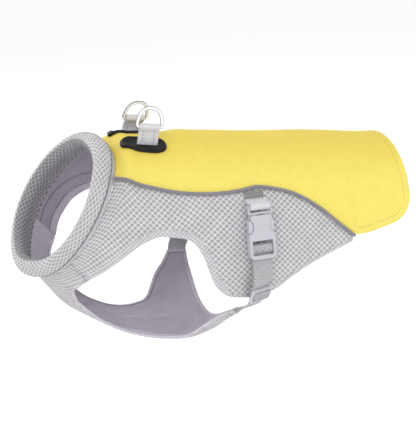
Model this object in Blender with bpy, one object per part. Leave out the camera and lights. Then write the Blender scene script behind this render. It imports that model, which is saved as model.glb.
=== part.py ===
"""A dog's cooling vest in the form that it has when worn, with no wearer.

+X runs from the neck to the tail, -Y is the dog's left side and +Z is up. The sizes below are in
millimetres, laid out round a point inside the body; make_object turns them into metres. In the end
everything moves so that the origin is on the inner face of the back, where the dog's back carries
the vest.

All cloth panels lie on one form: a tube whose sections lean forward at the neck. A place on it is
(station, angle): the station is the section's x, and the angle runs from 0 at the spine to 180 at
the belly, negative on the dog's left side.
"""

import math
from collections import namedtuple

import bmesh
import bpy
import numpy as np

MM = 0.001
GAP = 0.3  # between two pieces at a seam
WALL = 3.0  # spacer mesh with its lining
BACK_WALL = 2.6  # the yellow cloth with its lining
WEBBING = 1.3  # thickness of the straps
WEBBING_WIDTH = 19.6
CORD = 3.0  # diameter of the piping

HOLD_STATION = -10.0  # where the wearer's back carries the vest, on the spine

# The body's form: a row for each section, with its centre, its lean and the radius at each angle.
Station = namedtuple("Station", "x z lean top shoulder side chine belly bottom")
RADIUS_ANGLES = (0, 45, 90, 122, 148, 180)
STATIONS = (
    Station(-141, 19.5, 34, 69, 74, 81, 77, 71, 69),
    Station(-131, 14.5, 30.5, 82.5, 81.5, 81, 78.5, 76, 76),
    Station(-112, 5.5, 23, 86.5, 83.5, 81, 82, 87, 90),
    Station(-75, -9, 13, 95, 90, 86, 91, 104, 95.5),
    Station(-38, -14, 6, 100, 93, 87, 100, 109, 98),
    Station(-14, -15, 2, 98.5, 92, 87, 103, 103, 96.5),
    Station(4, -15, 0, 97, 91.5, 87, 102, 90, 92.5),
    Station(40, -15, 0, 93, 89, 85, 97, 88, 88),
    Station(110, -14, 0, 87, 84, 81, 88, 84, 84),
    Station(192, -13, 0, 78, 77, 76, 80, 78, 78),
)
NECK = STATIONS[0].x
COLLAR_SEAM = NECK + 0.9  # where the panels begin
CHEST_SEAM_ANGLE = 118.0  # where the seam between side and chest panel leaves the collar

# The side panel, as pairs of points on its upper and its lower edge, seen from the side. The upper
# edge runs along the collar as an angle, and then along the back seam.
CollarRung = namedtuple("CollarRung", "angle low_x low_z")
COLLAR_RUNGS = (
    CollarRung(118, -141.5, -29.6),
    CollarRung(94, -131, -22),
    CollarRung(70, -118, -12),
    CollarRung(48.5, -103, -0.5),
)
SeamRung = namedtuple("SeamRung", "x z low_x low_z")
SEAM_RUNGS = (
    SeamRung(-90, 54.5, -88, 7.5),
    SeamRung(-68, 48.2, -73, 9.5),
    SeamRung(-34, 42.5, -49, 3),
    SeamRung(-14, 41, -37, -14),
    SeamRung(0, 41, -28, -40),
    SeamRung(12, 41.8, -17, -53),
    SeamRung(23, 42.4, -1, -58),
    SeamRung(40, 39, 20, -60.5),
    SeamRung(52, 35.5, 38, -55.5),
    SeamRung(65, 30, 52, -47),
    SeamRung(85, 17, 75, -36),
    SeamRung(106, -1, 100, -27),
    SeamRung(122, -14, 121, -20),
)
# On the right side the armhole reaches further forward and up: the lower ends of the first rungs.
RIGHT_ARMHOLE = (
    (-141.5, -29.6),
    (-136, -17),
    (-128, -6.5),
    (-117, 5),
    (-100, 13),
    (-78, 14.5),
    (-52, 6),
)

# The back panel's free edge behind the side panel, with the station of the same row on the spine.
HemRow = namedtuple("HemRow", "x z spine_x")
HEM_ROWS = (
    HemRow(140, -14, 142),
    HemRow(158, -10.5, 160),
    HemRow(171, -7.5, 172),
    HemRow(180, -2, 181),
    HemRow(185.5, 5, 187),
    HemRow(189, 14, 192),
)

# The chest panel's edges: from the side where it rises, from below under the body. Each row also
# has the station of its middle.
ChestRow = namedtuple("ChestRow", "look x across middle")
CHEST_ROWS = (
    ChestRow("side", -141.5, -29.6, -131),
    ChestRow("side", -149.5, -40, -125),
    ChestRow("below", -152, 49, -119),
    ChestRow("below", -147, 41.5, -113),
    ChestRow("below", -138, 40, -106),
    ChestRow("below", -124, 36, -96),
    ChestRow("below", -109, 36.5, -85),
    ChestRow("below", -94, 38.5, -73),
    ChestRow("below", -80, 42, -62),
    ChestRow("below", -65, 47.5, -50),
    ChestRow("below", -50, 56, -40),
    ChestRow("side", -34, -89.5, -28),
    ChestRow("side", -22, -78, -19),
)
WING_TIPS = {
    "left": (ChestRow("side", -8, -71, -9), ChestRow("below", 8, 68, 0)),
    "right": (ChestRow("side", -14, -67.5, -9), ChestRow("side", 7, -69.5, 0)),
}

# The collar's section: distance towards the head from the seam, and out from the neck's opening.
CollarPoint = namedtuple("CollarPoint", "ahead out")
COLLAR_SECTION = (
    CollarPoint(0.3, 0.5),
    CollarPoint(4, 3),
    CollarPoint(9, 4.6),
    CollarPoint(14.5, 4.6),
    CollarPoint(19.5, 2.4),
    CollarPoint(22.8, -1),
    CollarPoint(23.8, -4.8),
    CollarPoint(21.8, -8.6),
    CollarPoint(17.5, -11),
    CollarPoint(13, -10.6),
    CollarPoint(9, -8.2),
    CollarPoint(4, -5),
    CollarPoint(0.3, -3.2),
)
# The roll is pressed back on the left: the share of its reach ahead, from underneath over the left
# side, the nape and the right side to underneath.
REACH_ANGLES = (-180, -150, -125, -90, -45, 0, 90, 180)
REACH = (0.9, 0.76, 0.64, 0.68, 0.785, 0.91, 1.0, 0.9)

# The leash points on the back.
PATCH_X = -73.5
PATCH_ANGLE = 15.5
PATCH_HALF = (21.3, 13.0)  # along the spine, across
SLOT_HALF = (10.8, 2.2)
SLOT_BEHIND_CENTRE = 3.0
BAR_HEIGHT = 18.5  # length of the webbing from the panel to the D-ring's bar
WEBBING_LEAN = {"left": 4.0, "right": -30.0}  # outwards from upright, in degrees
LEASH_WIDTH = 19.2  # of the webbing through the D-ring
RING_HALF = (1.3, 1.7)  # of the metal's section, across the ring's plane and in it
RING_HALF_WIDTH = 11.7  # to the middle of the metal
RING_HEIGHT = 18.0
RING_LEAN = {"left": 0.0, "right": -24.0}  # outwards from upright at rest, in degrees

# The buckle, in its own axes: across, down from the female half's mouth, and out from its middle.
BUCKLE_HALF = 4.5
FEMALE_LENGTH = 41.5
FEMALE_HALF_WIDTH = 13.0
BUCKLE_MOUTH = (17.6, 87.6, 21.6)  # the mouth's middle; y is the distance from the vest's middle
BUCKLE_END = (18.0, 95.3, -18.6)
MALE_BAR = -7.9  # down from the mouth, so above it
ANCHOR = (33.5, 39.9)  # the woven patch below the piping, from its foot to its top
STRAP_GAP = 0.45  # between the two layers of a folded strap

# Below the buckle each strap goes its own way. Places and directions, with y as they are.
Slider = namedtuple("Slider", "middle across")
SLIDERS = {
    "left": Slider((14.9, -99.0, -53.7), (-0.94, -0.34, 0.0)),
    "right": Slider((7.5, 98.0, -48.0), (0.92, 0.0, -0.39)),
}
SLIDER_HALF = (12.3, 7.4, 1.4)  # across, along the strap, out
SLIDER_SLOT = (10.1, 4.3, 3.3)  # half width, height, and the middle's distance from the slider's
# The strap's way through the slider: up along it and out from its middle.
Pass = namedtuple("Pass", "up out")
WEAVE = (
    Pass(-8.8, -2.35),
    Pass(-6.4, -2.35),
    Pass(-4.6, -2.3),
    Pass(-3.75, -1.5),
    Pass(-2.85, 1.5),
    Pass(-2.0, 2.3),
    Pass(0, 2.4),
    Pass(2.0, 2.3),
    Pass(2.85, 1.5),
    Pass(3.75, -1.5),
    Pass(4.6, -2.3),
    Pass(6.4, -2.35),
    Pass(8.8, -2.35),
)
# And round the female half's middle bar: down from the mouth and out.
Turn = namedtuple("Turn", "down out")
BAR_TURN = (
    Turn(43.2, -0.5),
    Turn(38.6, -0.5),
    Turn(36.6, -0.3),
    Turn(35.2, 1.2),
    Turn(34.2, 2.3),
    Turn(31.3, 2.45),
    Turn(28.7, 2.3),
    Turn(27.9, 0),
    Turn(28.7, -2.3),
    Turn(31.3, -2.45),
    Turn(34.2, -2.45),
    Turn(38.6, -2.3),
    Turn(43.2, -2.3),
)


def material(name, colour, roughness, metallic=0.0):
    made = bpy.data.materials.new(name)
    made.use_nodes = True
    shader = made.node_tree.nodes["Principled BSDF"]
    shader.inputs["Base Color"].default_value = (*colour, 1.0)
    shader.inputs["Roughness"].default_value = roughness
    shader.inputs["Metallic"].default_value = metallic
    return made


def cubic(a, b, leave, arrive, t):
    """From a to b with these slopes at its ends."""
    return a + t * leave + t * t * (3 * (b - a) - 2 * leave - arrive) + t**3 * (2 * (a - b) + leave + arrive)


def smooth(at, knots, values):
    """The cubic through these values, flat at both ends of the knots."""
    at = min(max(at, knots[0]), knots[-1])
    last = len(knots) - 2
    i = min(int(np.searchsorted(knots, at, side="right")) - 1, last)
    step = knots[i + 1] - knots[i]
    t = (at - knots[i]) / step

    def slope(k):
        if k == 0 or k == len(knots) - 1:
            return values[k] * 0
        return (values[k + 1] - values[k - 1]) / (knots[k + 1] - knots[k - 1])

    return cubic(values[i], values[i + 1], slope(i) * step, slope(i + 1) * step, t)


STATION_X = np.array([row.x for row in STATIONS], float)
STATION_ROWS = np.array([row[1:] for row in STATIONS], float)


def on_section(station, angle):
    z, lean, *radii = smooth(station, STATION_X, STATION_ROWS)
    radius = smooth(abs(angle), RADIUS_ANGLES, np.array(radii))
    lean, turn = math.radians(lean), math.radians(angle)
    up = radius * math.cos(turn)
    across = radius * math.sin(turn)
    return np.array((station + up * math.sin(lean), across, z + up * math.cos(lean)))


def unit(vector):
    return np.array(vector, float) / np.linalg.norm(vector)


def outward(station, angle):
    """The form's normal, from the points just before, behind and beside this one."""
    along = on_section(station + 0.5, angle) - on_section(station - 0.5, angle)
    if station <= NECK + 0.5:
        along = on_section(station + 1, angle) - on_section(station, angle)
    if station >= STATIONS[-1].x - 0.5:
        along = on_section(station, angle) - on_section(station - 1, angle)
    around = on_section(station, angle + 0.5) - on_section(station, angle - 0.5)
    return unit(np.cross(along, around))


def on_form(station, angle, out=0.0):
    return on_section(station, angle) + out * outward(station, angle)


def place(look, x, across):
    """The (station, angle) that is seen at x, z from the side or at x, y from below."""
    axis = 2 if look == "side" else 1
    spot = np.array((x, 90.0 if look == "side" else 150.0))
    if look == "side" and across < -60:
        spot[1] = 120.0
    if look == "side" and across > 30:
        spot[1] = 60.0
    for _ in range(30):
        here = on_section(*spot)[[0, axis]]
        by_station = (on_section(spot[0] + 0.1, spot[1])[[0, axis]] - here) / 0.1
        by_angle = (on_section(spot[0], spot[1] + 0.1)[[0, axis]] - here) / 0.1
        move = np.linalg.solve(np.array((by_station, by_angle)).T, np.array((x, across)) - here)
        spot = spot + np.clip(move, -12, 12)
    return spot


def through(knots, count):
    """Places on the smooth curve through these places, with this many steps between two of them."""
    knots = np.array(knots, float)
    places = []
    for i in range(len(knots) - 1):
        a, b = knots[i], knots[i + 1]
        before = knots[i - 1] if i else 2 * a - b
        behind = knots[i + 2] if i + 2 < len(knots) else 2 * b - a
        for step in range(count):
            places.append(cubic(a, b, (b - before) / 2, (behind - a) / 2, step / count))
    return places + [knots[-1]]


def make_object(name, points, faces, look, at=(0, 0, 0)):
    """One closed mesh in metres, with its own origin at the given point."""
    mesh = bpy.data.meshes.new(name)
    build = bmesh.new()
    corners = [build.verts.new((np.array(point) - at) * MM) for point in points]
    for face in faces:
        build.faces.new([corners[i] for i in face])
    bmesh.ops.recalc_face_normals(build, faces=build.faces)
    if build.calc_volume(signed=True) < 0:
        bmesh.ops.reverse_faces(build, faces=build.faces)
    build.to_mesh(mesh)
    build.free()
    mesh.materials.append(look)
    mesh.shade_smooth()
    mesh.set_sharp_from_angle(angle=math.radians(35))
    made = bpy.data.objects.new(name, mesh)
    made.location = np.array(at) * MM
    bpy.context.scene.collection.objects.link(made)
    return made


def grid_solid(name, outer, inner, look):
    """A wall between two grids of points, closed round its edge."""
    rows, columns = len(outer), len(outer[0])
    points = [p for row in outer for p in row] + [p for row in inner for p in row]
    lower = rows * columns

    def at(i, j):
        return i * columns + j

    faces = []
    for i in range(rows - 1):
        for j in range(columns - 1):
            face = (at(i, j), at(i, j + 1), at(i + 1, j + 1), at(i + 1, j))
            faces.append(face)
            faces.append(tuple(lower + k for k in reversed(face)))
    rim = [at(0, j) for j in range(columns)]
    rim += [at(i, columns - 1) for i in range(1, rows)]
    rim += [at(rows - 1, j) for j in range(columns - 2, -1, -1)]
    rim += [at(i, 0) for i in range(rows - 2, 0, -1)]
    for a, b in zip(rim, rim[1:] + rim[:1]):
        faces.append((b, a, lower + a, lower + b))
    return make_object(name, points, faces, look)


def panel(name, rows, wall, look):
    """A panel of cloth on the form, from rows of (station, angle)."""
    outer = [[on_form(*spot) for spot in row] for row in rows]
    inner = [[on_form(*spot, out=-wall) for spot in row] for row in rows]
    return grid_solid(name, outer, inner, look)


def sweep(name, path, across, section, look, closed=False, at=(0, 0, 0)):
    """A section carried along a path. Its points are (across, out), out being path x across."""
    path = [np.array(p, float) for p in path]
    count = len(path)
    across = [unit(across[i] if len(across) == count else across[0]) for i in range(count)]
    points = []
    for i, centre in enumerate(path):
        before = path[i - 1] if closed or i else path[0]
        behind = path[(i + 1) % count] if closed or i < count - 1 else path[-1]
        along = unit(behind - before)
        out = unit(np.cross(along, across[i]))
        side = np.cross(out, along)
        points += [centre + a * side + b * out for a, b in section]
    size = len(section)
    faces = []
    for i in range(count if closed else count - 1):
        here, there = i * size, (i + 1) % count * size
        for k in range(size):
            after = (k + 1) % size
            faces.append((here + k, here + after, there + after, there + k))
    if not closed:
        faces.append(tuple(range(size)))
        faces.append(tuple((count - 1) * size + k for k in range(size)))
    return make_object(name, points, faces, look, at)


def oval(half_a, half_b, sides):
    turns = [2 * math.pi * k / sides for k in range(sides)]
    return [(half_a * math.cos(t), half_b * math.sin(t)) for t in turns]


def strip(width, thickness):
    a, b = width / 2, thickness / 2
    return [(-a, -b), (a, -b), (a, b), (-a, b)]


def prism(name, outline, low, high, look=None):
    """An outline of (across, down) points, thick from low to high."""
    count = len(outline)
    points = [(x, y, z) for z in (low, high) for x, y in outline]
    faces = [tuple(range(count)), tuple(range(count, 2 * count))]
    faces += [(k, (k + 1) % count, count + (k + 1) % count, count + k) for k in range(count)]
    return make_object(name, points, faces, look)


def combine(base, other, operation):
    """The Boolean of two objects, which leaves only the first."""
    modifier = base.modifiers.new("Boolean", "BOOLEAN")
    modifier.object = other
    modifier.operation = operation
    graph = bpy.context.evaluated_depsgraph_get()
    mesh = bpy.data.meshes.new_from_object(base.evaluated_get(graph))
    base.modifiers.clear()
    base.data = mesh
    bpy.data.objects.remove(other)


def stand(made, origin, across, down):
    """Turns a piece made round the origin into its place: its x across, its y down, its z out."""
    across, down = unit(across), unit(down)
    out = np.cross(across, down)
    turn = np.array((across, down, out))
    for vertex in made.data.vertices:
        vertex.co = np.array(vertex.co) @ turn + np.array(origin) * MM


def mirrored(made, name):
    """The same piece on the dog's right side."""
    mesh = made.data.copy()
    for vertex in mesh.vertices:
        vertex.co.y = -vertex.co.y
    mesh.flip_normals()
    copy = bpy.data.objects.new(name, mesh)
    copy.location = made.location
    copy.location.y = -copy.location.y
    bpy.context.scene.collection.objects.link(copy)
    return copy


def rounded_box(half_x, half_y, corner, steps=3):
    outline = []
    for cx, cy, start in ((1, 1, 0), (-1, 1, 90), (-1, -1, 180), (1, -1, 270)):
        for k in range(steps + 1):
            turn = math.radians(start + 90 * k / steps)
            x = cx * (half_x - corner) + corner * math.cos(turn)
            y = cy * (half_y - corner) + corner * math.sin(turn)
            outline.append((x, y))
    return outline


def fold(spine, bar, across, hole):
    """The path of webbing that comes up one side of a spine, round a bar and down the other."""
    bar = np.array(bar, float)
    spine = [np.array(spot, float) for spot in spine]
    legs = unit(spine[-1] - bar)
    out = unit(np.cross(legs, across))
    half = (WEBBING + STRAP_GAP) / 2
    coming, leaving = [], []
    for i, spot in enumerate(spine):
        along = unit((spine[i + 1] if i < len(spine) - 1 else bar) - (spine[i - 1] if i else spot))
        aside = unit(np.cross(-along, across))
        coming.append(spot - half * aside)
        leaving.append(spot + half * aside)
    turn = hole + WEBBING / 2
    round_bar = []
    for angle in range(60, 301, 30):
        c, s = math.cos(math.radians(angle)), math.sin(math.radians(angle))
        round_bar.append(bar + turn * (c * legs - s * out))
    return coming + round_bar + leaving[::-1]


def side_rungs(side):
    """The side panel's upper and lower edge, as places on the form, one for each rung."""
    on_collar = [(NECK, row.angle) for row in COLLAR_RUNGS]
    on_seam = [place("side", row.x, row.z) for row in SEAM_RUNGS]
    low = [(row.low_x, row.low_z) for row in COLLAR_RUNGS + SEAM_RUNGS]
    if side == "right":
        low[: len(RIGHT_ARMHOLE)] = RIGHT_ARMHOLE
    upper = through(on_collar, 2)[:-1] + through([on_collar[-1]] + on_seam, 2)
    lower = through([place("side", *spot) for spot in low], 2)
    return upper, lower


def seam_places():
    """The back seam, from the collar to the belly edge."""
    upper, _ = side_rungs("left")
    return upper[2 * (len(COLLAR_RUNGS) - 1):]


def side_panels(look):
    columns = 7
    angle_gap = math.degrees(GAP / 2 / STATIONS[2].side)
    for side, sign in (("left", -1), ("right", 1)):
        rows = []
        for high, low in zip(*side_rungs(side)):
            start = np.array((max(high[0], COLLAR_SEAM), high[1] + angle_gap))
            rows.append([start + (low - start) * k / (columns - 1) for k in range(columns)])
        panel(f"side_panel_{side}", [[(s, sign * a) for s, a in row] for row in rows], WALL, look)


def back_panel(look):
    angle_gap = math.degrees(GAP / 2 / STATIONS[2].side)
    edge = [(max(s, COLLAR_SEAM), a - angle_gap, max(s, COLLAR_SEAM)) for s, a in seam_places()]
    hem = [(*place("side", row.x, row.z), row.spine_x) for row in HEM_ROWS]
    edge += through([edge[-1]] + hem, 2)[1:]
    columns = 18
    rows = []
    for station, angle, spine in edge:
        row = []
        for k in range(columns + 1):
            v = 2 * k / columns - 1
            row.append((spine + (station - spine) * v * v, angle * v))
        rows.append(row)
    panel("back_panel", rows, BACK_WALL, look)


def chest_edge(side):
    rows = [(COLLAR_SEAM, CHEST_SEAM_ANGLE, COLLAR_SEAM)]
    seam_end = place(*CHEST_ROWS[0][:3])
    rows.append((*seam_end, CHEST_ROWS[0].middle))
    rows += [(*place(*row[:3]), row.middle) for row in CHEST_ROWS[1:] + WING_TIPS[side][:1]]
    tip = [rows[-1]] + [(*place(*row[:3]), row.middle) for row in WING_TIPS[side][1:]]
    return through(rows[:2], 2)[:-1] + through(rows[1:], 2)[:-1] + through(tip, 3)


def chest_panel(look):
    seam_gap = math.degrees(1.6 * GAP / STATIONS[1].belly)
    columns = 9
    rows = []
    for left, right in zip(chest_edge("left"), chest_edge("right")):
        middle = left[2]
        row = []
        for k in range(-columns, columns + 1):
            v = abs(k) / columns
            station, angle, _ = left if k < 0 else right
            place_angle = 180 - (180 - angle - seam_gap) * v
            # Past 180 the angle goes on round, so that the row runs on from left to right.
            place_angle = -place_angle if k < 0 else place_angle
            row.append((middle + (station - middle) * v * v, place_angle))
        rows.append(row)
    panel("chest_panel", rows, WALL, look)


def collar(look):
    """The roll round the neck, whose section turns round the neck's axis."""
    neck = STATIONS[0]
    lean = math.radians(neck.lean)
    ahead = np.array((-math.cos(lean), 0, math.sin(lean)))
    up = np.array((math.sin(lean), 0, math.cos(lean)))
    around = 44
    size = len(COLLAR_SECTION)
    points, faces = [], []
    for i in range(around):
        turn = 2 * math.pi * i / around
        out = up * math.cos(turn) + np.array((0, 1, 0)) * math.sin(turn)
        angle = math.degrees(turn if turn <= math.pi else turn - 2 * math.pi)
        rim, reach, first = on_section(NECK, angle), smooth(angle, REACH_ANGLES, REACH), COLLAR_SECTION[0].ahead
        for row in COLLAR_SECTION:
            points.append(rim + ahead * (first + (row.ahead - first) * reach) + out * row.out)
        for k in range(size):
            here, there = i * size, (i + 1) % around * size
            faces.append((here + k, here + (k + 1) % size, there + (k + 1) % size, there + k))
    make_object("collar", points, faces, look)


def pipings(look):
    lift = CORD / 2 + GAP
    for side, sign in (("left", -1), ("right", 1)):
        places = [(max(s, NECK + 1.3), sign * a) for s, a in seam_places()]
        path = [on_form(*spot, out=lift) for spot in places]
        across = [outward(*spot) for spot in places]
        sweep(f"piping_{side}", path, across, oval(CORD / 2, CORD / 2, 6), look)


def patch_place(along, across):
    """The place on the left of the back this far behind the patch's middle and down from it."""
    angle = -(PATCH_ANGLE + math.degrees(across / STATIONS[3].shoulder))
    station = PATCH_X - 30
    for _ in range(12):
        station += PATCH_X + along - on_section(station, angle)[0]
    return station, angle


def leash_patches(look):
    """An oval with a raised rim, pierced by the slot that the webbing comes through."""
    Band = namedtuple("Band", "reach height")
    top = (Band(0, 0.7), Band(0, 1.9), Band(0.7, 1.9), Band(0.78, 3.1), Band(0.93, 3.1))
    bands = (*top, Band(1, 0.7), Band(0.66, 0.7), Band(0.33, 0.7))
    around = 28
    points, faces = [], []
    for i in range(around):
        turn = 2 * math.pi * i / around
        c, s = math.cos(turn), math.sin(turn)
        slot = (
            SLOT_HALF[0] * np.sign(c) * abs(c) ** 0.35 + SLOT_BEHIND_CENTRE,
            SLOT_HALF[1] * np.sign(s) * abs(s) ** 0.35,
        )
        rim = (PATCH_HALF[0] * np.sign(c) * abs(c) ** 0.75, PATCH_HALF[1] * np.sign(s) * abs(s) ** 0.85)
        for band in bands:
            along, across = (slot[k] + (rim[k] - slot[k]) * band.reach for k in (0, 1))
            points.append(on_form(*patch_place(along, across), out=band.height))
        for k in range(len(bands)):
            here, there = i * len(bands), (i + 1) % around * len(bands)
            after = (k + 1) % len(bands)
            faces.append((here + k, here + after, there + after, there + k))
    left = make_object("leash_patch_left", points, faces, look)
    mirrored(left, "leash_patch_right")


def leash_frame(side):
    """Where a leash loop stands: its spine from the panel up, the bar's middle and its direction."""
    sign = -1 if side == "left" else 1
    spot = patch_place(SLOT_BEHIND_CENTRE, 0)
    foot, normal = on_form(*spot), outward(*spot)
    before, behind = (on_form(*patch_place(SLOT_BEHIND_CENTRE + step, 0)) for step in (-5, 5))
    bar_way = unit(behind - before)
    lean = math.radians(WEBBING_LEAN[side])
    mirror = np.array((1, -sign, 1))
    foot, normal, bar_way = foot * mirror, normal * mirror, bar_way * mirror
    rise = np.array((0, sign * math.sin(lean), math.cos(lean)))
    rise = unit(rise - bar_way * np.dot(rise, bar_way))
    bend = foot + normal * 7
    bar = bend + rise * (BAR_HEIGHT - 7)
    spine = [foot + normal * GAP, foot + normal * 3.2]
    spine += [foot + normal * 6.2 + rise * 0.8, bend + rise * 3.2, bar - rise * 4.4]
    return spine, bar, bar_way


def ring_rise(side, bar_way):
    """The way from the D-ring's bar to its bow, at rest."""
    sign = -1 if side == "left" else 1
    lean = math.radians(RING_LEAN[side])
    rise = np.array((0, sign * math.sin(lean), math.cos(lean)))
    return unit(rise - bar_way * np.dot(rise, bar_way))


def leash_loops(look):
    for side in ("left", "right"):
        spine, bar, bar_way = leash_frame(side)
        path = fold(spine, bar, bar_way, RING_HALF[1] + GAP)
        sweep(f"leash_loop_{side}", path, [bar_way], strip(LEASH_WIDTH, WEBBING), look)


def d_rings(look):
    """A bar and a bow each, with the origin on the bar, where the ring swings in its webbing."""
    for side in ("left", "right"):
        _, bar, bar_way = leash_frame(side)
        rise = ring_rise(side, bar_way)
        spots = [(RING_HALF_WIDTH * t, 0) for t in (-0.92, -0.4, 0.4, 0.92)]
        for k in range(13):
            turn = math.pi * k / 12
            reach = np.sign(math.cos(turn)) * abs(math.cos(turn)) ** 0.8
            spots.append((RING_HALF_WIDTH * reach, 1.5 + (RING_HEIGHT - 1.5) * math.sin(turn) ** 0.9))
        path = [bar + a * bar_way + b * rise for a, b in spots]
        section = oval(*RING_HALF, 8)
        sweep(f"d_ring_{side}", path, [np.cross(bar_way, rise)], section, look, closed=True, at=bar)


def buckle_frame(side):
    """The buckle's mouth, and its axes across, down and out."""
    sign = -1 if side == "left" else 1
    mirror = np.array((1, sign, 1))
    mouth, end = np.array(BUCKLE_MOUTH) * mirror, np.array(BUCKLE_END) * mirror
    down = unit(end - mouth)
    across = unit(np.array((sign, 0, 0)) - down * down[0] * sign)
    return mouth, across, down, np.cross(across, down)


def box(name, x, y, z):
    return prism(name, [(x[0], y[0]), (x[1], y[0]), (x[1], y[1]), (x[0], y[1])], *z)


def female_buckles(look):
    """A flat sleeve with a mouth above, a window on each side and two slots below."""
    half, slot = FEMALE_HALF_WIDTH, 10.3
    right = [(9.6, 0), (10.6, 3), (12.4, 9), (half, 15), (half, 37), (12.2, 40.2), (9.5, FEMALE_LENGTH)]
    outline = right + [(-x, y) for x, y in reversed(right)]
    left = prism("buckle_female_left", outline, -BUCKLE_HALF, BUCKLE_HALF, look)
    combine(left, box("mouth", (-8.6, 8.6), (-1, 19), (-2.5, 2.5)), "DIFFERENCE")
    for sign in (-1, 1):
        window = [(sign * (13.4 + x), 10.5 + y) for x, y in oval(5.6, 7.0, 14)]
        combine(left, prism("window", window, -6, 6), "DIFFERENCE")
    # Two slots, and between them the bar that the strap turns round.
    combine(left, box("slot", (-slot, slot), (24, 29.2), (-6, 6)), "DIFFERENCE")
    combine(left, box("slot", (-slot, slot), (33.4, 37.8), (-6, 6)), "DIFFERENCE")
    combine(left, box("behind_bar", (-slot, slot), (28, 34), (-6, -1.5)), "DIFFERENCE")
    combine(left, box("before_bar", (-slot, slot), (28, 34), (1.5, 6)), "DIFFERENCE")
    # Behind the end bar the strap's two layers leave downwards.
    combine(left, box("leave", (-slot, slot), (36, 43), (-6, 0.6)), "DIFFERENCE")
    stand(left, *buckle_frame("left")[:3])
    mirrored(left, "buckle_female_right")


def male_buckles(look):
    """A frame round the webbing's bar and two prongs, whose ends fill the female half's windows."""
    outline = [(x, y - 5.2) for x, y in rounded_box(11.8, 4.8, 1.6)]
    left = prism("buckle_male_left", outline, -2.1, 2.1, look)
    combine(left, box("slot", (-10.2, 10.2), (-6.5, -2.6), (-4, 4)), "DIFFERENCE")
    combine(left, box("behind_bar", (-10.2, 10.2), (-12, -6), (-4, -1.2)), "DIFFERENCE")
    combine(left, box("before_bar", (-10.2, 10.2), (-12, -6), (1.2, 4)), "DIFFERENCE")
    combine(left, box("above_bar", (-10.2, 10.2), (-12, -9.3), (-4, 4)), "DIFFERENCE")
    for sign in (-1, 1):
        prong = [(4.6, -2.0), (8.2, -2.0), (8.2, 16), (6.0, 17.8), (4.6, 16)]
        combine(left, prism("prong", [(sign * x, y) for x, y in prong], -2.1, 2.1), "UNION")
        lobe = [
            (sign * (13.4 + 5.2 * math.cos(math.radians(a))), 10.5 + 6.6 * math.sin(math.radians(a)))
            for a in range(100, 261, 16)
        ]
        combine(left, prism("lobe", lobe, -3.4, 3.4), "UNION")
        bridge = [(sign * x, y) for x, y in ((7.6, 8), (9.4, 8), (9.4, 13), (7.6, 13))]
        combine(left, prism("bridge", bridge, -2.1, 2.1), "UNION")
    stand(left, *buckle_frame("left")[:3])
    mirrored(left, "buckle_male_right")


def strap_anchors(look):
    """The woven patch that holds the upper webbing, sewn on the side panel below the piping."""
    width, rows, columns = WEBBING_WIDTH, 3, 5
    low, high = ([place("side", BUCKLE_MOUTH[0], z) for z in ANCHOR])
    for side, sign in (("left", -1), ("right", 1)):
        layers = []
        for out in (WEBBING + GAP, GAP):
            grid = []
            for i in range(rows):
                station, angle = low + (high - low) * i / (rows - 1)
                grid.append([
                    on_form(station + width * (j / (columns - 1) - 0.5), sign * angle, out)
                    for j in range(columns)
                ])
            layers.append(grid)
        grid_solid(f"strap_anchor_{side}", *layers, look)


def buckle_loops(look):
    """Webbing from under the anchor's foot, round the male half's bar."""
    foot = place("side", BUCKLE_MOUTH[0], ANCHOR[0] - 1.2)
    for side, sign in (("left", -1), ("right", 1)):
        mouth, across, down, _ = buckle_frame(side)
        bar = mouth + down * MALE_BAR
        low = on_form(foot[0], sign * foot[1], GAP + WEBBING + 0.3)
        near = bar + 4.2 * unit(low - bar)
        path = fold([low, (low + near) / 2, near], bar, across, 2.0 + GAP)
        sweep(f"buckle_loop_{side}", path, [across], strip(WEBBING_WIDTH, WEBBING), look)


def slider_frame(side):
    """The slider's middle, and its axes across, up and out."""
    mouth, _, down, _ = buckle_frame(side)
    middle, across = np.array(SLIDERS[side].middle), unit(SLIDERS[side].across)
    tip, _, _ = wing_tip(side)
    up = unit(unit(mouth + down * FEMALE_LENGTH - middle) + unit(middle - tip))
    up = unit(up - across * np.dot(up, across))
    return middle, across, up, unit(np.cross(across, -up))


def wing_tip(side):
    """The middle of the tip's edge, the direction along it and the one out of the cloth."""
    sign = -1 if side == "left" else 1
    (a, b), (c, d) = (place(*row[:3]) for row in WING_TIPS[side])
    first, second = on_form(a, sign * b, -WALL / 2), on_form(c, sign * d, -WALL / 2)
    across = unit(second - first) * sign
    middle = (a + c) / 2, (b + d) / 2
    beyond = on_form(middle[0], sign * (middle[1] - 2)) - on_form(middle[0], sign * middle[1])
    return (first + second) / 2, across, unit(beyond - across * np.dot(beyond, across))


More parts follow.
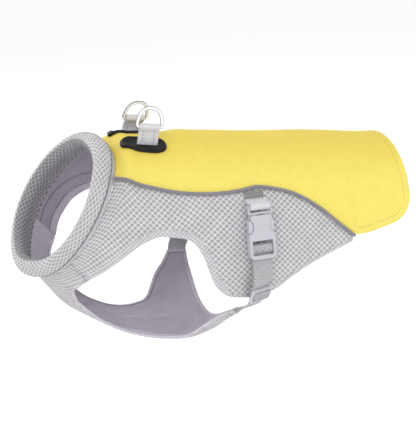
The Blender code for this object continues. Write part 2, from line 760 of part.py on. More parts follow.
def adjusting_straps(look):
    """Webbing from the wing's tip through the slider, round the buckle's middle bar and down behind."""
    for side in ("left", "right"):
        mouth, across, down, out = buckle_frame(side)
        slider, slider_across, up, slider_out = slider_frame(side)
        tip, tip_across, tip_way = wing_tip(side)
        weave = [slider + up * row.up + slider_out * row.out for row in WEAVE]
        turn = [mouth + down * row.down + out * row.out for row in BAR_TURN]
        behind = slider - slider_out * 4.1
        path, ways = [], []

        def run(start, end, leave, arrive, first_way, last_way, steps):
            reach = np.linalg.norm(end - start)
            for t in steps:
                path.append(cubic(start, end, leave * reach, arrive * reach, t))
                ways.append(unit(first_way * (1 - t) + last_way * t))

        run(tip + tip_way * 0.7, weave[0], tip_way, up, tip_across, slider_across, (0, 0.1, 0.35, 0.6, 0.85))
        path += weave
        ways += [slider_across] * len(weave)
        run(weave[-1], turn[0], up, -down, slider_across, across, (0.25, 0.5, 0.75))
        path += turn
        ways += [across] * len(turn)
        last = behind + up * WEAVE[-1].up
        run(turn[-1], last, down, -up, across, slider_across, (0.25, 0.5, 0.75, 1))
        path += [behind + up * 6, behind]
        ways += [slider_across] * 2
        sweep(f"adjusting_strap_{side}", path, ways, strip(WEBBING_WIDTH, WEBBING), look)


def sliders(look):
    """A plate with a middle bar between two slots."""
    half_width, height, middle = SLIDER_SLOT
    for side in ("left", "right"):
        outline = rounded_box(SLIDER_HALF[0], SLIDER_HALF[1], 1.8)
        made = prism(f"slider_{side}", outline, -SLIDER_HALF[2], SLIDER_HALF[2], look)
        for sign in (-1, 1):
            low, high = sign * middle - height / 2, sign * middle + height / 2
            slot = box("slot", (-half_width, half_width), (low, high), (-4, 4))
            combine(made, slot, "DIFFERENCE")
        slider, across, up, _ = slider_frame(side)
        stand(made, slider, across, -up)


def scene_objects():
    for old in list(bpy.data.objects):
        bpy.data.objects.remove(old)
    mesh_grey = (0.62, 0.60, 0.63)
    webbing = material("webbing", (0.72, 0.72, 0.74), 0.85)
    plastic = material("plastic", (0.64, 0.62, 0.68), 0.45)
    collar(material("collar_mesh", mesh_grey, 0.9))
    back_panel(material("yellow_cloth", (0.92, 0.82, 0.2), 0.85))
    side_panels(material("side_mesh", mesh_grey, 0.9))
    chest_panel(material("chest_mesh", mesh_grey, 0.9))
    pipings(material("piping", (0.25, 0.24, 0.28), 0.7))
    leash_patches(material("rubber", (0.015, 0.015, 0.017), 0.5))
    leash_loops(webbing)
    d_rings(material("chrome", (0.85, 0.85, 0.87), 0.12, 1.0))
    strap_anchors(material("woven_anchor", (0.33, 0.34, 0.31), 0.9))
    buckle_loops(webbing)
    female_buckles(plastic)
    male_buckles(plastic)
    adjusting_straps(webbing)
    sliders(plastic)
    hold = on_form(HOLD_STATION, 0, out=-BACK_WALL) * MM
    for piece in bpy.data.objects:
        piece.location = np.array(piece.location) - hold


scene_objects()
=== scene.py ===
"""The looks of the dog's cooling vest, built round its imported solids.

The vest lies on one form, as its solids do: a tube whose sections lean forward at the neck. A place
on it is (station, angle), the station being a section's x and the angle 0 at the spine, 180 at the
belly and negative on the dog's left side. Sizes are in millimetres, laid out round a point inside
the body, and Piece.finish turns them into metres round the frame's origin.
"""

from collections import namedtuple
from math import cos, degrees, pi, radians, sin
from types import SimpleNamespace

import bmesh
import bpy
import numpy as np
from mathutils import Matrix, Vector, kdtree, noise


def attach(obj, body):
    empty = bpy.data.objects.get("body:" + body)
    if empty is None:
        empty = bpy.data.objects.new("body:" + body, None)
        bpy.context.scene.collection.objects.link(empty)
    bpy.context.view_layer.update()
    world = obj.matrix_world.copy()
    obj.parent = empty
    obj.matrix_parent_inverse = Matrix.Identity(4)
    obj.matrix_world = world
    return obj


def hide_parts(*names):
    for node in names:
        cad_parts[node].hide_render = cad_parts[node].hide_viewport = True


MM = 0.001
SIGN = {"left": -1, "right": 1}
GAP = 0.3
WALL = 3.0
BACK_WALL = 2.6
WEBBING = 1.3
WEBBING_WIDTH = 19.6
CORD = 3.0
HOLD_STATION = -10.0


def table(kind, *rows):
    return tuple(kind(*row) for row in rows)


# The form, as in the part's source: the radius of each section at each angle.
Station = namedtuple("Station", "x z lean top shoulder side chine belly bottom")
RADIUS_ANGLES = (0, 45, 90, 122, 148, 180)
STATIONS = table(
    Station,
    (-141, 19.5, 34, 69, 74, 81, 77, 71, 69),
    (-131, 14.5, 30.5, 82.5, 81.5, 81, 78.5, 76, 76),
    (-112, 5.5, 23, 86.5, 83.5, 81, 82, 87, 90),
    (-75, -9, 13, 95, 90, 86, 91, 104, 95.5),
    (-38, -14, 6, 100, 93, 87, 100, 109, 98),
    (-14, -15, 2, 98.5, 92, 87, 103, 103, 96.5),
    (4, -15, 0, 97, 91.5, 87, 102, 90, 92.5),
    (40, -15, 0, 93, 89, 85, 97, 88, 88),
    (110, -14, 0, 87, 84, 81, 88, 84, 84),
    (192, -13, 0, 78, 77, 76, 80, 78, 78),
)
NECK = STATIONS[0].x
TAIL = STATIONS[-1].x
COLLAR_SEAM = NECK + 0.9
CHEST_SEAM_ANGLE = 118.0

# The panels' edges, also as in the part's source.
CollarRung = namedtuple("CollarRung", "angle low_x low_z")
COLLAR_RUNGS = table(
    CollarRung,
    (118, -141.5, -29.6),
    (94, -131, -22),
    (70, -118, -12),
    (48.5, -103, -0.5),
)
SeamRung = namedtuple("SeamRung", "x z low_x low_z")
SEAM_RUNGS = table(
    SeamRung,
    (-90, 54.5, -88, 7.5), (-68, 48.2, -73, 9.5), (-34, 42.5, -49, 3),
    (-14, 41, -37, -14), (0, 41, -28, -40), (12, 41.8, -17, -53),
    (23, 42.4, -1, -58), (40, 39, 20, -60.5), (52, 35.5, 38, -55.5),
    (65, 30, 52, -47), (85, 17, 75, -36), (106, -1, 100, -27),
    (122, -14, 121, -20),
)
RIGHT_ARMHOLE = (
    (-141.5, -29.6),
    (-136, -17),
    (-128, -6.5),
    (-117, 5),
    (-100, 13),
    (-78, 14.5),
    (-52, 6),
)
HemRow = namedtuple("HemRow", "x z spine_x")
HEM_ROWS = table(
    HemRow,
    (140, -14, 142), (158, -10.5, 160), (171, -7.5, 172),
    (180, -2, 181), (185.5, 5, 187), (189, 14, 192),
)
ChestRow = namedtuple("ChestRow", "look x across middle")
CHEST_ROWS = table(
    ChestRow,
    ("side", -141.5, -29.6, -131),
    ("side", -149.5, -40, -125),
    ("below", -152, 49, -119),
    ("below", -147, 41.5, -113),
    ("below", -138, 40, -106),
    ("below", -124, 36, -96),
    ("below", -109, 36.5, -85),
    ("below", -94, 38.5, -73),
    ("below", -80, 42, -62),
    ("below", -65, 47.5, -50),
    ("below", -50, 56, -40),
    ("side", -34, -89.5, -28),
    ("side", -22, -78, -19),
)
WING_TIPS = {
    "left": table(ChestRow, ("side", -8, -71, -9), ("below", 8, 68, 0)),
    "right": table(ChestRow, ("side", -14, -67.5, -9), ("side", 7, -69.5, 0)),
}
CollarPoint = namedtuple("CollarPoint", "ahead out")
COLLAR_SECTION = table(
    CollarPoint,
    (0.3, 0.5), (4, 3), (9, 4.6), (14.5, 4.6), (19.5, 2.4),
    (22.8, -1), (23.8, -4.8), (21.8, -8.6), (17.5, -11), (13, -10.6),
    (9, -8.2), (4, -5), (0.3, -3.2),
)
REACH_ANGLES = (-180, -150, -125, -90, -45, 0, 90, 180)
REACH = (0.9, 0.76, 0.64, 0.68, 0.785, 0.91, 1.0, 0.9)

# The leash points, the buckles and the sliders, also as in the part's source.
PATCH_X = -73.5
PATCH_ANGLE = 15.5
SLOT_BEHIND_CENTRE = 3.0
BAR_HEIGHT = 18.5
LEASH_STITCH = 5.0  # from the webbing's foot to the first stitch
WEBBING_LEAN = {"left": 4.0, "right": -30.0}
LEASH_WIDTH = 19.2
SEWN_IN = 2.0  # of the strap, in the wing's edge
RING_HALF = (1.3, 1.7)
RING_HALF_WIDTH = 11.7
RING_HEIGHT = 18.0
RING_LEAN = {"left": 0.0, "right": -24.0}
FEMALE_LENGTH = 41.5
BUCKLE_MOUTH = (17.6, 87.6, 21.6)
BUCKLE_END = (18.0, 95.3, -18.6)
MALE_BAR = -7.9
ANCHOR = (33.5, 39.9)
ANCHOR_DEPTH = 8.2
STRAP_GAP = 0.45
Slider = namedtuple("Slider", "middle across")
SLIDERS = {
    "left": Slider((14.9, -99.0, -53.7), (-0.94, -0.34, 0.0)),
    "right": Slider((7.5, 98.0, -48.0), (0.92, 0.0, -0.39)),
}
Pass = namedtuple("Pass", "up out")
WEAVE = table(
    Pass,
    (-8.8, -2.35), (-6.4, -2.35), (-4.6, -2.3), (-3.75, -1.5), (-2.85, 1.5),
    (-2.0, 2.3), (0, 2.4), (2.0, 2.3), (2.85, 1.5), (3.75, -1.5),
    (4.6, -2.3), (6.4, -2.35), (8.8, -2.35),
)
Turn = namedtuple("Turn", "down out")
BAR_TURN = table(
    Turn,
    (43.2, -0.5), (38.6, -0.5), (36.6, -0.3), (35.2, 1.2), (34.2, 2.3),
    (31.3, 2.45), (28.7, 2.3), (27.9, 0), (28.7, -2.3), (31.3, -2.45),
    (34.2, -2.45), (38.6, -2.3), (43.2, -2.3),
)

# Hard pieces whose edges are rounded: the look, the width of the rounding and its segments.
Rounded = namedtuple("Rounded", "part slot width segments")
ROUNDED = table(
    Rounded,
    ("leash_patch", "rubber", 0.35, 3),
    ("buckle_female", "plastic", 0.55, 3),
    ("buckle_male", "plastic", 0.4, 2),
    ("slider", "plastic", 0.5, 3),
)

# Sewing: how far from an edge a line of stitches lies.
ARMHOLE_HEM = 6.8
BELLY_HEM = 3.4
WING_BINDING = 3.8
TAIL_HEM = 6.8
LINING_SEAMS = (8.4, 20.0)
NEAR_LIT_BAND = 11.0  # of painted light: the lining made lighter along the chest panel's left edge, which faces up to the light
COLLAR_GROOVE = 6.5
NECK_CLOSE = 0.8  # the roll's back reaches this far towards the panels
INNER_SHADE_FROM = -6.0  # from here in, the roll's inner side gets painted shade: a darker look

# Steps in from a free edge and from a seam, close where the cloth turns or a line is sewn.
NEAR_FREE = (0, 0.25, 0.7, 1.3, 2.1, 2.9, 3.4, 3.8, 4.2, 4.9, 5.8, 6.4, 6.8, 7.2, 7.9, 9.2)
NEAR_SEAM = (0, 0.4, 0.9, 1.6, 2.6, 4)


def unit(vector):
    vector = np.asarray(vector, float)
    return vector / np.linalg.norm(vector, axis=-1, keepdims=True)


def square_to(vector, way):
    """The direction of a vector's part that is square to a way."""
    return unit(vector - way * np.dot(vector, way))


def cubic(a, b, leave, arrive, t):
    """From a to b with these slopes at its ends."""
    return a + t * leave + t * t * (3 * (b - a) - 2 * leave - arrive) + t**3 * (2 * (a - b) + leave + arrive)


def smooth(at, knots, values):
    """The cubic through values at the knots, flat at both ends. Each point has its own row of values."""
    knots = np.array(knots, float)
    at = np.clip(at, knots[0], knots[-1])
    i = np.clip(np.searchsorted(knots, at, side="right") - 1, 0, len(knots) - 2)
    slopes = np.zeros_like(values)
    slopes[:, 1:-1] = (values[:, 2:] - values[:, :-2]) / (knots[2:] - knots[:-2])
    point = np.arange(len(at))
    step = knots[i + 1] - knots[i]
    a, b = (point, i), (point, i + 1)
    return cubic(values[a], values[b], slopes[a] * step, slopes[b] * step, (at - knots[i]) / step)


STATION_X = [row.x for row in STATIONS]
STATION_COLUMNS = np.array([row[1:] for row in STATIONS], float).T


def on_section(spots):
    spots = np.asarray(spots, float)
    station, angle = spots.reshape(-1, 2).T
    columns = [
        smooth(station, STATION_X, np.broadcast_to(column, (len(station), len(column))))
        for column in STATION_COLUMNS
    ]
    radius = smooth(abs(angle), RADIUS_ANGLES, np.array(columns[2:]).T)
    lean, turn = np.radians(columns[1]), np.radians(angle)
    up, across = radius * np.cos(turn), radius * np.sin(turn)
    points = np.stack((station + up * np.sin(lean), across, columns[0] + up * np.cos(lean)), -1)
    return points.reshape(*spots.shape[:-1], 3)


def outward(spots):
    spots = np.asarray(spots, float)
    before, behind = spots.copy(), spots.copy()
    before[..., 0] = np.maximum(before[..., 0] - 0.5, NECK)
    behind[..., 0] = np.minimum(behind[..., 0] + 0.5, TAIL)
    along = on_section(behind) - on_section(before)
    around = on_section(spots + (0, 0.5)) - on_section(spots - (0, 0.5))
    return unit(np.cross(along, around))


def on_form(spots, out=0.0):
    return on_section(spots) + np.asarray(out)[..., None] * outward(spots)


def place(look, x, across):
    """The (station, angle) that is seen at x, z from the side or at x, y from below."""
    axis = 2 if look == "side" else 1
    spot = np.array((x, 90.0 if look == "side" else 150.0))
    if look == "side" and across < -60:
        spot[1] = 120.0
    if look == "side" and across > 30:
        spot[1] = 60.0
    for _ in range(30):
        trio = on_section((spot, spot + (0.1, 0), spot + (0, 0.1)))[:, [0, axis]]
        move = np.linalg.solve((trio[1:] - trio[0]).T / 0.1, np.array((x, across)) - trio[0])
        spot = spot + np.clip(move, -12, 12)
    return spot


def through(knots, count):
    """Places on the smooth curve through these places, with this many steps between two of them."""
    knots = np.array(knots, float)
    places = []
    for i in range(len(knots) - 1):
        a, b = knots[i], knots[i + 1]
        before = knots[i - 1] if i else 2 * a - b
        behind = knots[i + 2] if i + 2 < len(knots) else 2 * b - a
        for step in range(count):
            places.append(cubic(a, b, (b - before) / 2, (behind - a) / 2, step / count))
    return places + [knots[-1]]


def lengths(points):
    """How far along a line each of its points is."""
    steps = np.linalg.norm(np.diff(points, axis=0), axis=-1)
    return np.concatenate(((0.0,), np.cumsum(steps)))


def at_length(points, run, at):
    """The point of a line at this distance along it, or the points at these."""
    return np.stack([np.interp(at, run, points[:, k]) for k in range(3)], -1)


def finer(points, step):
    """The smooth line through points that lie at uneven distances, in steps of about this length."""
    points = np.asarray(points, float)
    run = lengths(points[:, :3])
    made = []
    slopes = np.gradient(points, run, axis=0)
    for i in range(len(points) - 1):
        reach = run[i + 1] - run[i]
        count = max(1, round(reach / step))
        for k in range(count):
            made.append(cubic(points[i], points[i + 1], slopes[i] * reach, slopes[i + 1] * reach, k / count))
    return np.array(made + [points[-1]])


# How far cloth runs along and round the form, for the weave.
GRID_STATIONS = np.arange(NECK, TAIL + 0.1, 3.0)
GRID_ANGLES = np.arange(0, 180.1, 3.0)


def cloth_table():
    spots = np.stack(np.meshgrid(GRID_STATIONS, GRID_ANGLES, indexing="ij"), -1)
    points = on_section(spots)
    along = np.linalg.norm(np.diff(points, axis=0), axis=-1)
    around = np.linalg.norm(np.diff(points, axis=1), axis=-1)
    along = np.concatenate((np.zeros((1, len(GRID_ANGLES))), np.cumsum(along, 0)), 0)
    around = np.concatenate((np.zeros((len(GRID_STATIONS), 1)), np.cumsum(around, 1)), 1)
    return along - along[len(along) // 2], around


CLOTH_ALONG, CLOTH_AROUND = cloth_table()


def on_cloth(spots):
    """Where places lie in the cloth, in millimetres along and round it."""
    spots = np.asarray(spots, float)
    a = np.clip((spots[..., 0] - NECK) / 3, 0, len(GRID_STATIONS) - 1.001)
    b = np.clip(abs(spots[..., 1]) / 3, 0, len(GRID_ANGLES) - 1.001)
    i, j = a.astype(int), b.astype(int)
    s, t = a - i, b - j
    found = []
    for run in (CLOTH_ALONG, CLOTH_AROUND):
        low = run[i, j] * (1 - t) + run[i, j + 1] * t
        high = run[i + 1, j] * (1 - t) + run[i + 1, j + 1] * t
        found.append(low * (1 - s) + high * s)
    found[1] = found[1] * np.where(spots[..., 1] < 0, -1, 1)
    return np.stack(found, -1)


HOLD = on_form((HOLD_STATION, 0), -BACK_WALL)


def rim(rows, columns):
    """The pairs of neighbours round the edge of a grid."""
    line = [(0, j) for j in range(columns)] + [(i, columns - 1) for i in range(1, rows)]
    line += [(rows - 1, j) for j in range(columns - 2, -1, -1)] + [(i, 0) for i in range(rows - 2, 0, -1)]
    return zip(line, line[1:] + line[:1])


class Piece:
    """A mesh in the making, from grids of points with their places in the cloth."""

    def __init__(self):
        self.points, self.faces, self.cloth, self.looks = [], [], [], []

    def grid(self, points, cloth, look=0, round_rows=False, round_columns=False):
        rows, columns = len(points), len(points[0])
        base = len(self.points)
        self.points += [p for row in points for p in row]
        for i in range(rows if round_rows else rows - 1):
            for j in range(columns if round_columns else columns - 1):
                corners = ((i, j), (i, j + 1), (i + 1, j + 1), (i + 1, j))
                self.cloth += [cloth[a][b] for a, b in corners]
                self.faces.append([base + a % rows * columns + b % columns for a, b in corners])
                self.looks.append(int(look if np.isscalar(look) else look[i, j]))
        return base

    def face(self, corners, look=0, cloth=None):
        self.faces.append(list(corners))
        self.cloth += cloth or [(0, 0)] * len(corners)
        self.looks.append(look)

    def finish(self, name, looks, slot, body="vest"):
        mesh = bpy.data.meshes.new(name)
        places = (np.array(self.points, float) - HOLD) * MM
        mesh.from_pydata(places.tolist(), [], self.faces)
        layer = mesh.uv_layers.new(name="cloth")
        layer.data.foreach_set("uv", np.array(self.cloth, np.float32).ravel())
        mesh.polygons.foreach_set("material_index", self.looks)
        work = bmesh.new()
        work.from_mesh(mesh)
        bmesh.ops.recalc_face_normals(work, faces=work.faces)
        work.to_mesh(mesh)
        work.free()
        return dress(mesh, name, looks, slot, body, 40)


def show(name, data):
    made = bpy.data.objects.new(name, data)
    bpy.context.scene.collection.objects.link(made)
    return made


def dress(mesh, name, looks, slot, body, sharp):
    """An object with this mesh, which replaces the solid of its name if there is one."""
    for look in looks:
        mesh.materials.append(look)
    mesh.shade_smooth()
    mesh.set_sharp_from_angle(angle=radians(sharp))
    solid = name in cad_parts
    made = show(name + "_look" if solid else name, mesh)
    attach(made, body)
    if solid:
        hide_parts(name)
    return made


# Materials

def new_look(name, roughness, metallic=0.0, colour=None, sheen=0.0):
    look = bpy.data.materials.new(name)
    look.use_nodes = True
    shader = look.node_tree.nodes["Principled BSDF"]
    shader.inputs["Roughness"].default_value = roughness
    shader.inputs["Metallic"].default_value = metallic
    shader.inputs["Sheen Weight"].default_value = sheen
    if colour:
        shader.inputs["Base Color"].default_value = (*colour, 1)
    return look


def add(look, kind, **inputs):
    """A node with these inputs, each a value or another node's output."""
    node = look.node_tree.nodes.new(kind)
    for name, given in inputs.items():
        socket = node.inputs[int(name[1:])] if name[0] == "i" and name[1:].isdigit() else node.inputs[name]
        if isinstance(given, bpy.types.NodeSocket):
            look.node_tree.links.new(given, socket)
        else:
            socket.default_value = given
    return node


def maths(look, operation, *inputs):
    node = add(look, "ShaderNodeMath", **{f"i{k}": given for k, given in enumerate(inputs)})
    node.operation = operation
    return node.outputs[0]


def link(look, output, name):
    look.node_tree.links.new(output, look.node_tree.nodes["Principled BSDF"].inputs[name])


def ramp(look, factor, stops):
    node = add(look, "ShaderNodeValToRGB", Fac=factor)
    elements = node.color_ramp.elements
    while len(elements) < len(stops):
        elements.new(0.5)
    for element, (position, colour) in zip(elements, sorted(stops)):
        element.position = position
        element.color = (*colour, 1) if len(colour) == 3 else (colour[0],) * 3 + (1,)
    return node.outputs[0]


def cloth_place(look):
    """The place in the cloth, along it and across it in millimetres."""
    node = add(look, "ShaderNodeUVMap")
    node.uv_map = "cloth"
    parts = add(look, "ShaderNodeSeparateXYZ", Vector=node.outputs[0])
    return parts.outputs[0], parts.outputs[1]


def blotches(look, size, detail=3.0):
    """Soft noise from 0 to 1, of this size in metres."""
    place_of = add(look, "ShaderNodeTexCoord").outputs["Object"]
    node = add(look, "ShaderNodeTexNoise", Vector=place_of, Scale=1 / size, Detail=detail)
    return node.outputs[0]


def tint(look, colour, factor, low, high):
    """A colour made darker and lighter by a factor from 0 to 1."""
    ends = {"From Min": 0.3, "From Max": 0.7, "To Min": low, "To Max": high}
    share = add(look, "ShaderNodeMapRange", Value=factor, **ends).outputs[0]
    grey = add(look, "ShaderNodeCombineColor", i0=share, i1=share, i2=share)
    return multiply(look, colour, grey.outputs[0])


def base_colour(look, colour, size, detail, low, high):
    """Sets the colour, with soft patches of this size."""
    link(look, tint(look, colour, blotches(look, size, detail), low, high), "Base Color")


def multiply(look, colour, other):
    mix = look.node_tree.nodes.new("ShaderNodeMix")
    mix.data_type = "RGBA"
    mix.blend_type = "MULTIPLY"
    mix.inputs["Factor"].default_value = 1
    look.node_tree.links.new(colour, mix.inputs["A"])
    look.node_tree.links.new(other, mix.inputs["B"])
    return mix.outputs["Result"]


def relief(look, height, depth, before=None):
    """Bump of this depth in metres; returns the normal, and takes one from coarser relief."""
    node = add(look, "ShaderNodeBump", Height=height, Distance=depth, Strength=1.0)
    if before:
        look.node_tree.links.new(before, node.inputs["Normal"])
    return node.outputs[0]


def triangle(look, factor):
    """From 0 to 0.5, the distance of a number from the nearest half, whole ones being 0.5."""
    part = maths(look, "FRACT", factor)
    return maths(look, "ABSOLUTE", maths(look, "SUBTRACT", part, 0.5))


def lattice_look(name, diagonals, stops, depth, roughness, variation=(0.93, 1.05), spine=None):
    """Cloth with raised lines both ways, which make diamonds with these diagonals in millimetres.

    Along the middle of the back the cloth is multiplied with a deeper, darker yellow, painted shade of the
    top, which fades to the sides.
    """
    look = new_look(name, roughness)
    along, across = cloth_place(look)
    beside = maths(look, "ABSOLUTE", across)
    along = maths(look, "DIVIDE", along, diagonals[0])
    across = maths(look, "DIVIDE", across, diagonals[1])
    rising = triangle(look, maths(look, "ADD", along, across))
    falling = triangle(look, maths(look, "SUBTRACT", along, across))
    line = maths(look, "MAXIMUM", rising, falling)
    colour = ramp(look, line, stops)
    # Painted shade: a deeper, darker yellow along the spine, fading to the sides.
    if spine:
        share = maths(look, "DIVIDE", beside, SPINE_SHADE_FADE)
        colour = multiply(look, colour, ramp(look, share, ((0.3, spine), (1.0, (1.0, 1.0, 1.0)))))
    base_colour(look, colour, 0.012, 4, *variation)
    height = ramp(look, line, ((0, (0.2,)), (0.28, (0.0,)), (0.42, (0.9,)), (0.5, (1.0,))))
    fine = relief(look, blotches(look, 0.0006, 2), 0.00012)
    link(look, relief(look, height, depth, fine), "Normal")
    return look


def plain_cloth(name, colour):
    """Fine plain weave, with soft patches of wear."""
    look = new_look(name, 0.85, sheen=0.2)
    along, across = cloth_place(look)
    threads = maths(
        look, "MULTIPLY",
        maths(look, "SINE", maths(look, "MULTIPLY", along, 2 * pi / 0.7)),
        maths(look, "SINE", maths(look, "MULTIPLY", across, 2 * pi / 0.7)),
    )
    base = ramp(look, blotches(look, 0.018, 3), ((0.3, tuple(0.93 * c for c in colour)), (0.7, colour)))
    base_colour(look, base, 0.0011, 2, 0.92, 1.06)
    soft = relief(look, blotches(look, 0.006, 4), 0.0004)
    link(look, relief(look, threads, 0.0001, soft), "Normal")
    return look


def webbing_look(name, light, dark):
    """Narrow webbing: ribs that run in chevrons along it, and firmer edges."""
    look = new_look(name, 0.8, sheen=0.15)
    across, along = cloth_place(look)
    side = triangle(look, maths(look, "DIVIDE", across, 4.9))
    slant = maths(look, "ADD", maths(look, "DIVIDE", along, 2.1), maths(look, "MULTIPLY", side, 2.4))
    rib = maths(look, "MULTIPLY", triangle(look, slant), 2)
    base = ramp(look, rib, ((0.1, dark), (0.65, light)))
    base_colour(look, base, 0.0013, 3, 0.86, 1.12)
    link(look, relief(look, rib, 0.0004), "Normal")
    return look


def woven_look(name, light, dark):
    """Basket weave."""
    look = new_look(name, 0.9)
    along, across = cloth_place(look)
    warp = maths(look, "SINE", maths(look, "MULTIPLY", along, pi / 1.3))
    weft = maths(look, "SINE", maths(look, "MULTIPLY", across, pi / 1.3))
    knots = maths(look, "MULTIPLY_ADD", maths(look, "MULTIPLY", warp, weft), 0.5, 0.5)
    base = ramp(look, knots, ((0.2, dark), (0.8, light)))
    base_colour(look, base, 0.002, 3, 0.85, 1.12)
    link(look, relief(look, knots, 0.0005), "Normal")
    return look


def moulded_look(name, colour, roughness, grain, shine=0.5):
    look = new_look(name, roughness)
    look.node_tree.nodes["Principled BSDF"].inputs["Specular IOR Level"].default_value = shine
    base = ramp(look, blotches(look, 0.02, 2), ((0.3, tuple(0.96 * c for c in colour)), (0.7, colour)))
    base_colour(look, base, 0.0015, 3, 0.96, 1.03)
    link(look, relief(look, blotches(look, 0.0004, 2), grain), "Normal")
    return look


def metal_look(name, colour, edge, roughness):
    """Plated metal, bright on the ring's faces, with painted shade darkening it round its edges."""
    look = new_look(name, roughness, 0.1)
    across, _ = cloth_place(look)
    share = maths(look, "DIVIDE", maths(look, "ABSOLUTE", across), RING_HALF[0])
    # Painted shade: the colour goes darker round the ring's edges.
    link(look, ramp(look, share, ((0.5, edge), (0.85, colour))), "Base Color")
    spread_to = {"To Min": roughness * 0.7, "To Max": roughness * 1.6}
    rough = add(look, "ShaderNodeMapRange", Value=blotches(look, 0.003, 4), **spread_to)
    link(look, rough.outputs[0], "Roughness")
    link(look, relief(look, blotches(look, 0.002, 2), 0.00003), "Normal")
    return look


MESH_STOPS = (
    (0.0, (0.30, 0.29, 0.305)),
    (0.24, (0.345, 0.335, 0.35)),
    (0.41, (0.39, 0.38, 0.395)),
    (0.47, (0.76, 0.75, 0.765)),
)
# Painted shade: a darker copy of the mesh's colours, for the collar roll's inner side.
INNER_SHADE_STOPS = (
    (0.0, (0.155, 0.15, 0.16)),
    (0.41, (0.21, 0.205, 0.215)),
    (0.47, (0.43, 0.42, 0.435)),
)
HEM_STOPS = (
    (0.0, (0.35, 0.34, 0.36)),
    (0.38, (0.40, 0.39, 0.41)),
    (0.47, (0.68, 0.67, 0.69)),
)
YELLOW_STOPS = (
    (0.0, (0.72, 0.59, 0.09)),
    (0.34, (0.73, 0.61, 0.105)),
    (0.46, (0.76, 0.66, 0.155)),
)
# Painted shade along the top of the back: the colour the yellow is multiplied with at the spine.
SPINE_PAINTED_SHADE = (0.93, 0.86, 0.62)
SPINE_SHADE_FADE = 75.0  # how far from the spine it ends


def make_looks():
    return SimpleNamespace(
        mesh=lattice_look("grey_mesh", (6.2, 5.6), MESH_STOPS, 0.0005, 0.85),
        collar=lattice_look("collar_mesh", (7.0, 4.8), MESH_STOPS, 0.0005, 0.85),
        hem=lattice_look("hem_mesh", (4.4, 4.0), HEM_STOPS, 0.0003, 0.85),
        # The yellow carries painted shade along the spine.
        yellow=lattice_look(
            "yellow_cloth", (5.2, 4.8), YELLOW_STOPS, 0.00016, 0.75, (0.97, 1.02), SPINE_PAINTED_SHADE
        ),
        lining=plain_cloth("lining", (0.45, 0.405, 0.475)),
        binding=plain_cloth("binding", (0.56, 0.53, 0.60)),
        # Painted light: the chest lining along its left edge, lighter where it faces the light.
        lit_lining_band=plain_cloth("lit_lining_band", (0.66, 0.64, 0.72)),
        piping=plain_cloth("piping", (0.21, 0.20, 0.225)),
        webbing=webbing_look("webbing", (0.72, 0.71, 0.73), (0.40, 0.39, 0.41)),
        strap=webbing_look("strap", (0.54, 0.53, 0.55), (0.13, 0.125, 0.135)),
        rubber=moulded_look("rubber", (0.006, 0.006, 0.007), 0.6, 0.00003, 0.25),
        plastic=moulded_look("plastic", (0.455, 0.445, 0.485), 0.42, 0.00002),
        # The second colour is painted shade round the rings' edges.
        chrome=metal_look("chrome", (0.80, 0.80, 0.81), (0.16, 0.16, 0.17), 0.3),
        woven=woven_look("woven_anchor", (0.36, 0.365, 0.345), (0.09, 0.095, 0.09)),
        thread=plain_cloth("thread", (0.17, 0.165, 0.18)),
        dark=plain_cloth("dark_thread", (0.05, 0.05, 0.055)),
        lining_thread=plain_cloth("lining_thread", (0.13, 0.115, 0.145)),
        yellow_thread=plain_cloth("yellow_thread", (0.60, 0.49, 0.13)),
        # The collar roll's inner side, in painted shade.
        inner=lattice_look("inner_mesh_painted_shade", (7.0, 4.8), INNER_SHADE_STOPS, 0.0005, 0.85),
        # Painted shade: a darker lining for inside the side panels and at the neck, where light hardly
        # reaches.
        lining_painted_shade=plain_cloth("lining_painted_shade", (0.31, 0.28, 0.345)),
        hem_thread=plain_cloth("hem_thread", (0.40, 0.39, 0.41)),
    )


# Panels of cloth

def spread(row, near, far, middle):
    """Places on a row at these distances from both its ends and evenly between. row(t) gives places."""
    t = np.linspace(0, 1, 81)
    run = lengths(on_section(row(t)))
    shrink = min(1.0, 0.45 * run[-1] / max(near[-1], far[-1]))
    near, far = np.array(near) * shrink, np.array(far) * shrink
    even = np.linspace(near[-1], run[-1] - far[-1], middle + 2)[1:-1]
    wanted = np.concatenate((near, even, run[-1] - far[::-1]))
    return row(np.interp(wanted, run, t))


def nearest(points, others):
    """How far each point is from the nearest of the others."""
    tree = kdtree.KDTree(len(others))
    for i, spot in enumerate(others):
        tree.insert(spot, i)
    tree.balance()
    flat = points.reshape(-1, 3)
    return np.array([tree.find(p)[2] for p in flat]).reshape(points.shape[:-1])


def distance(points, lines):
    """How far each point is from the nearest of these lines."""
    dense = []
    for line in lines:
        run = lengths(line)
        dense += list(at_length(line, run, np.arange(0, run[-1], 0.3)))
    return nearest(points, dense)


def soft(spots, size, seed):
    """Soft noise from -1 to 1 over the cloth."""
    places = on_cloth(spots).reshape(-1, 2) / size
    values = [noise.noise(Vector((a, b, seed))) for a, b in places]
    return np.array(values).reshape(np.shape(spots)[:-1])


def line_dip(reach, at, depth, width=0.7):
    return -depth * np.exp(-(((reach - at) / width) ** 2))


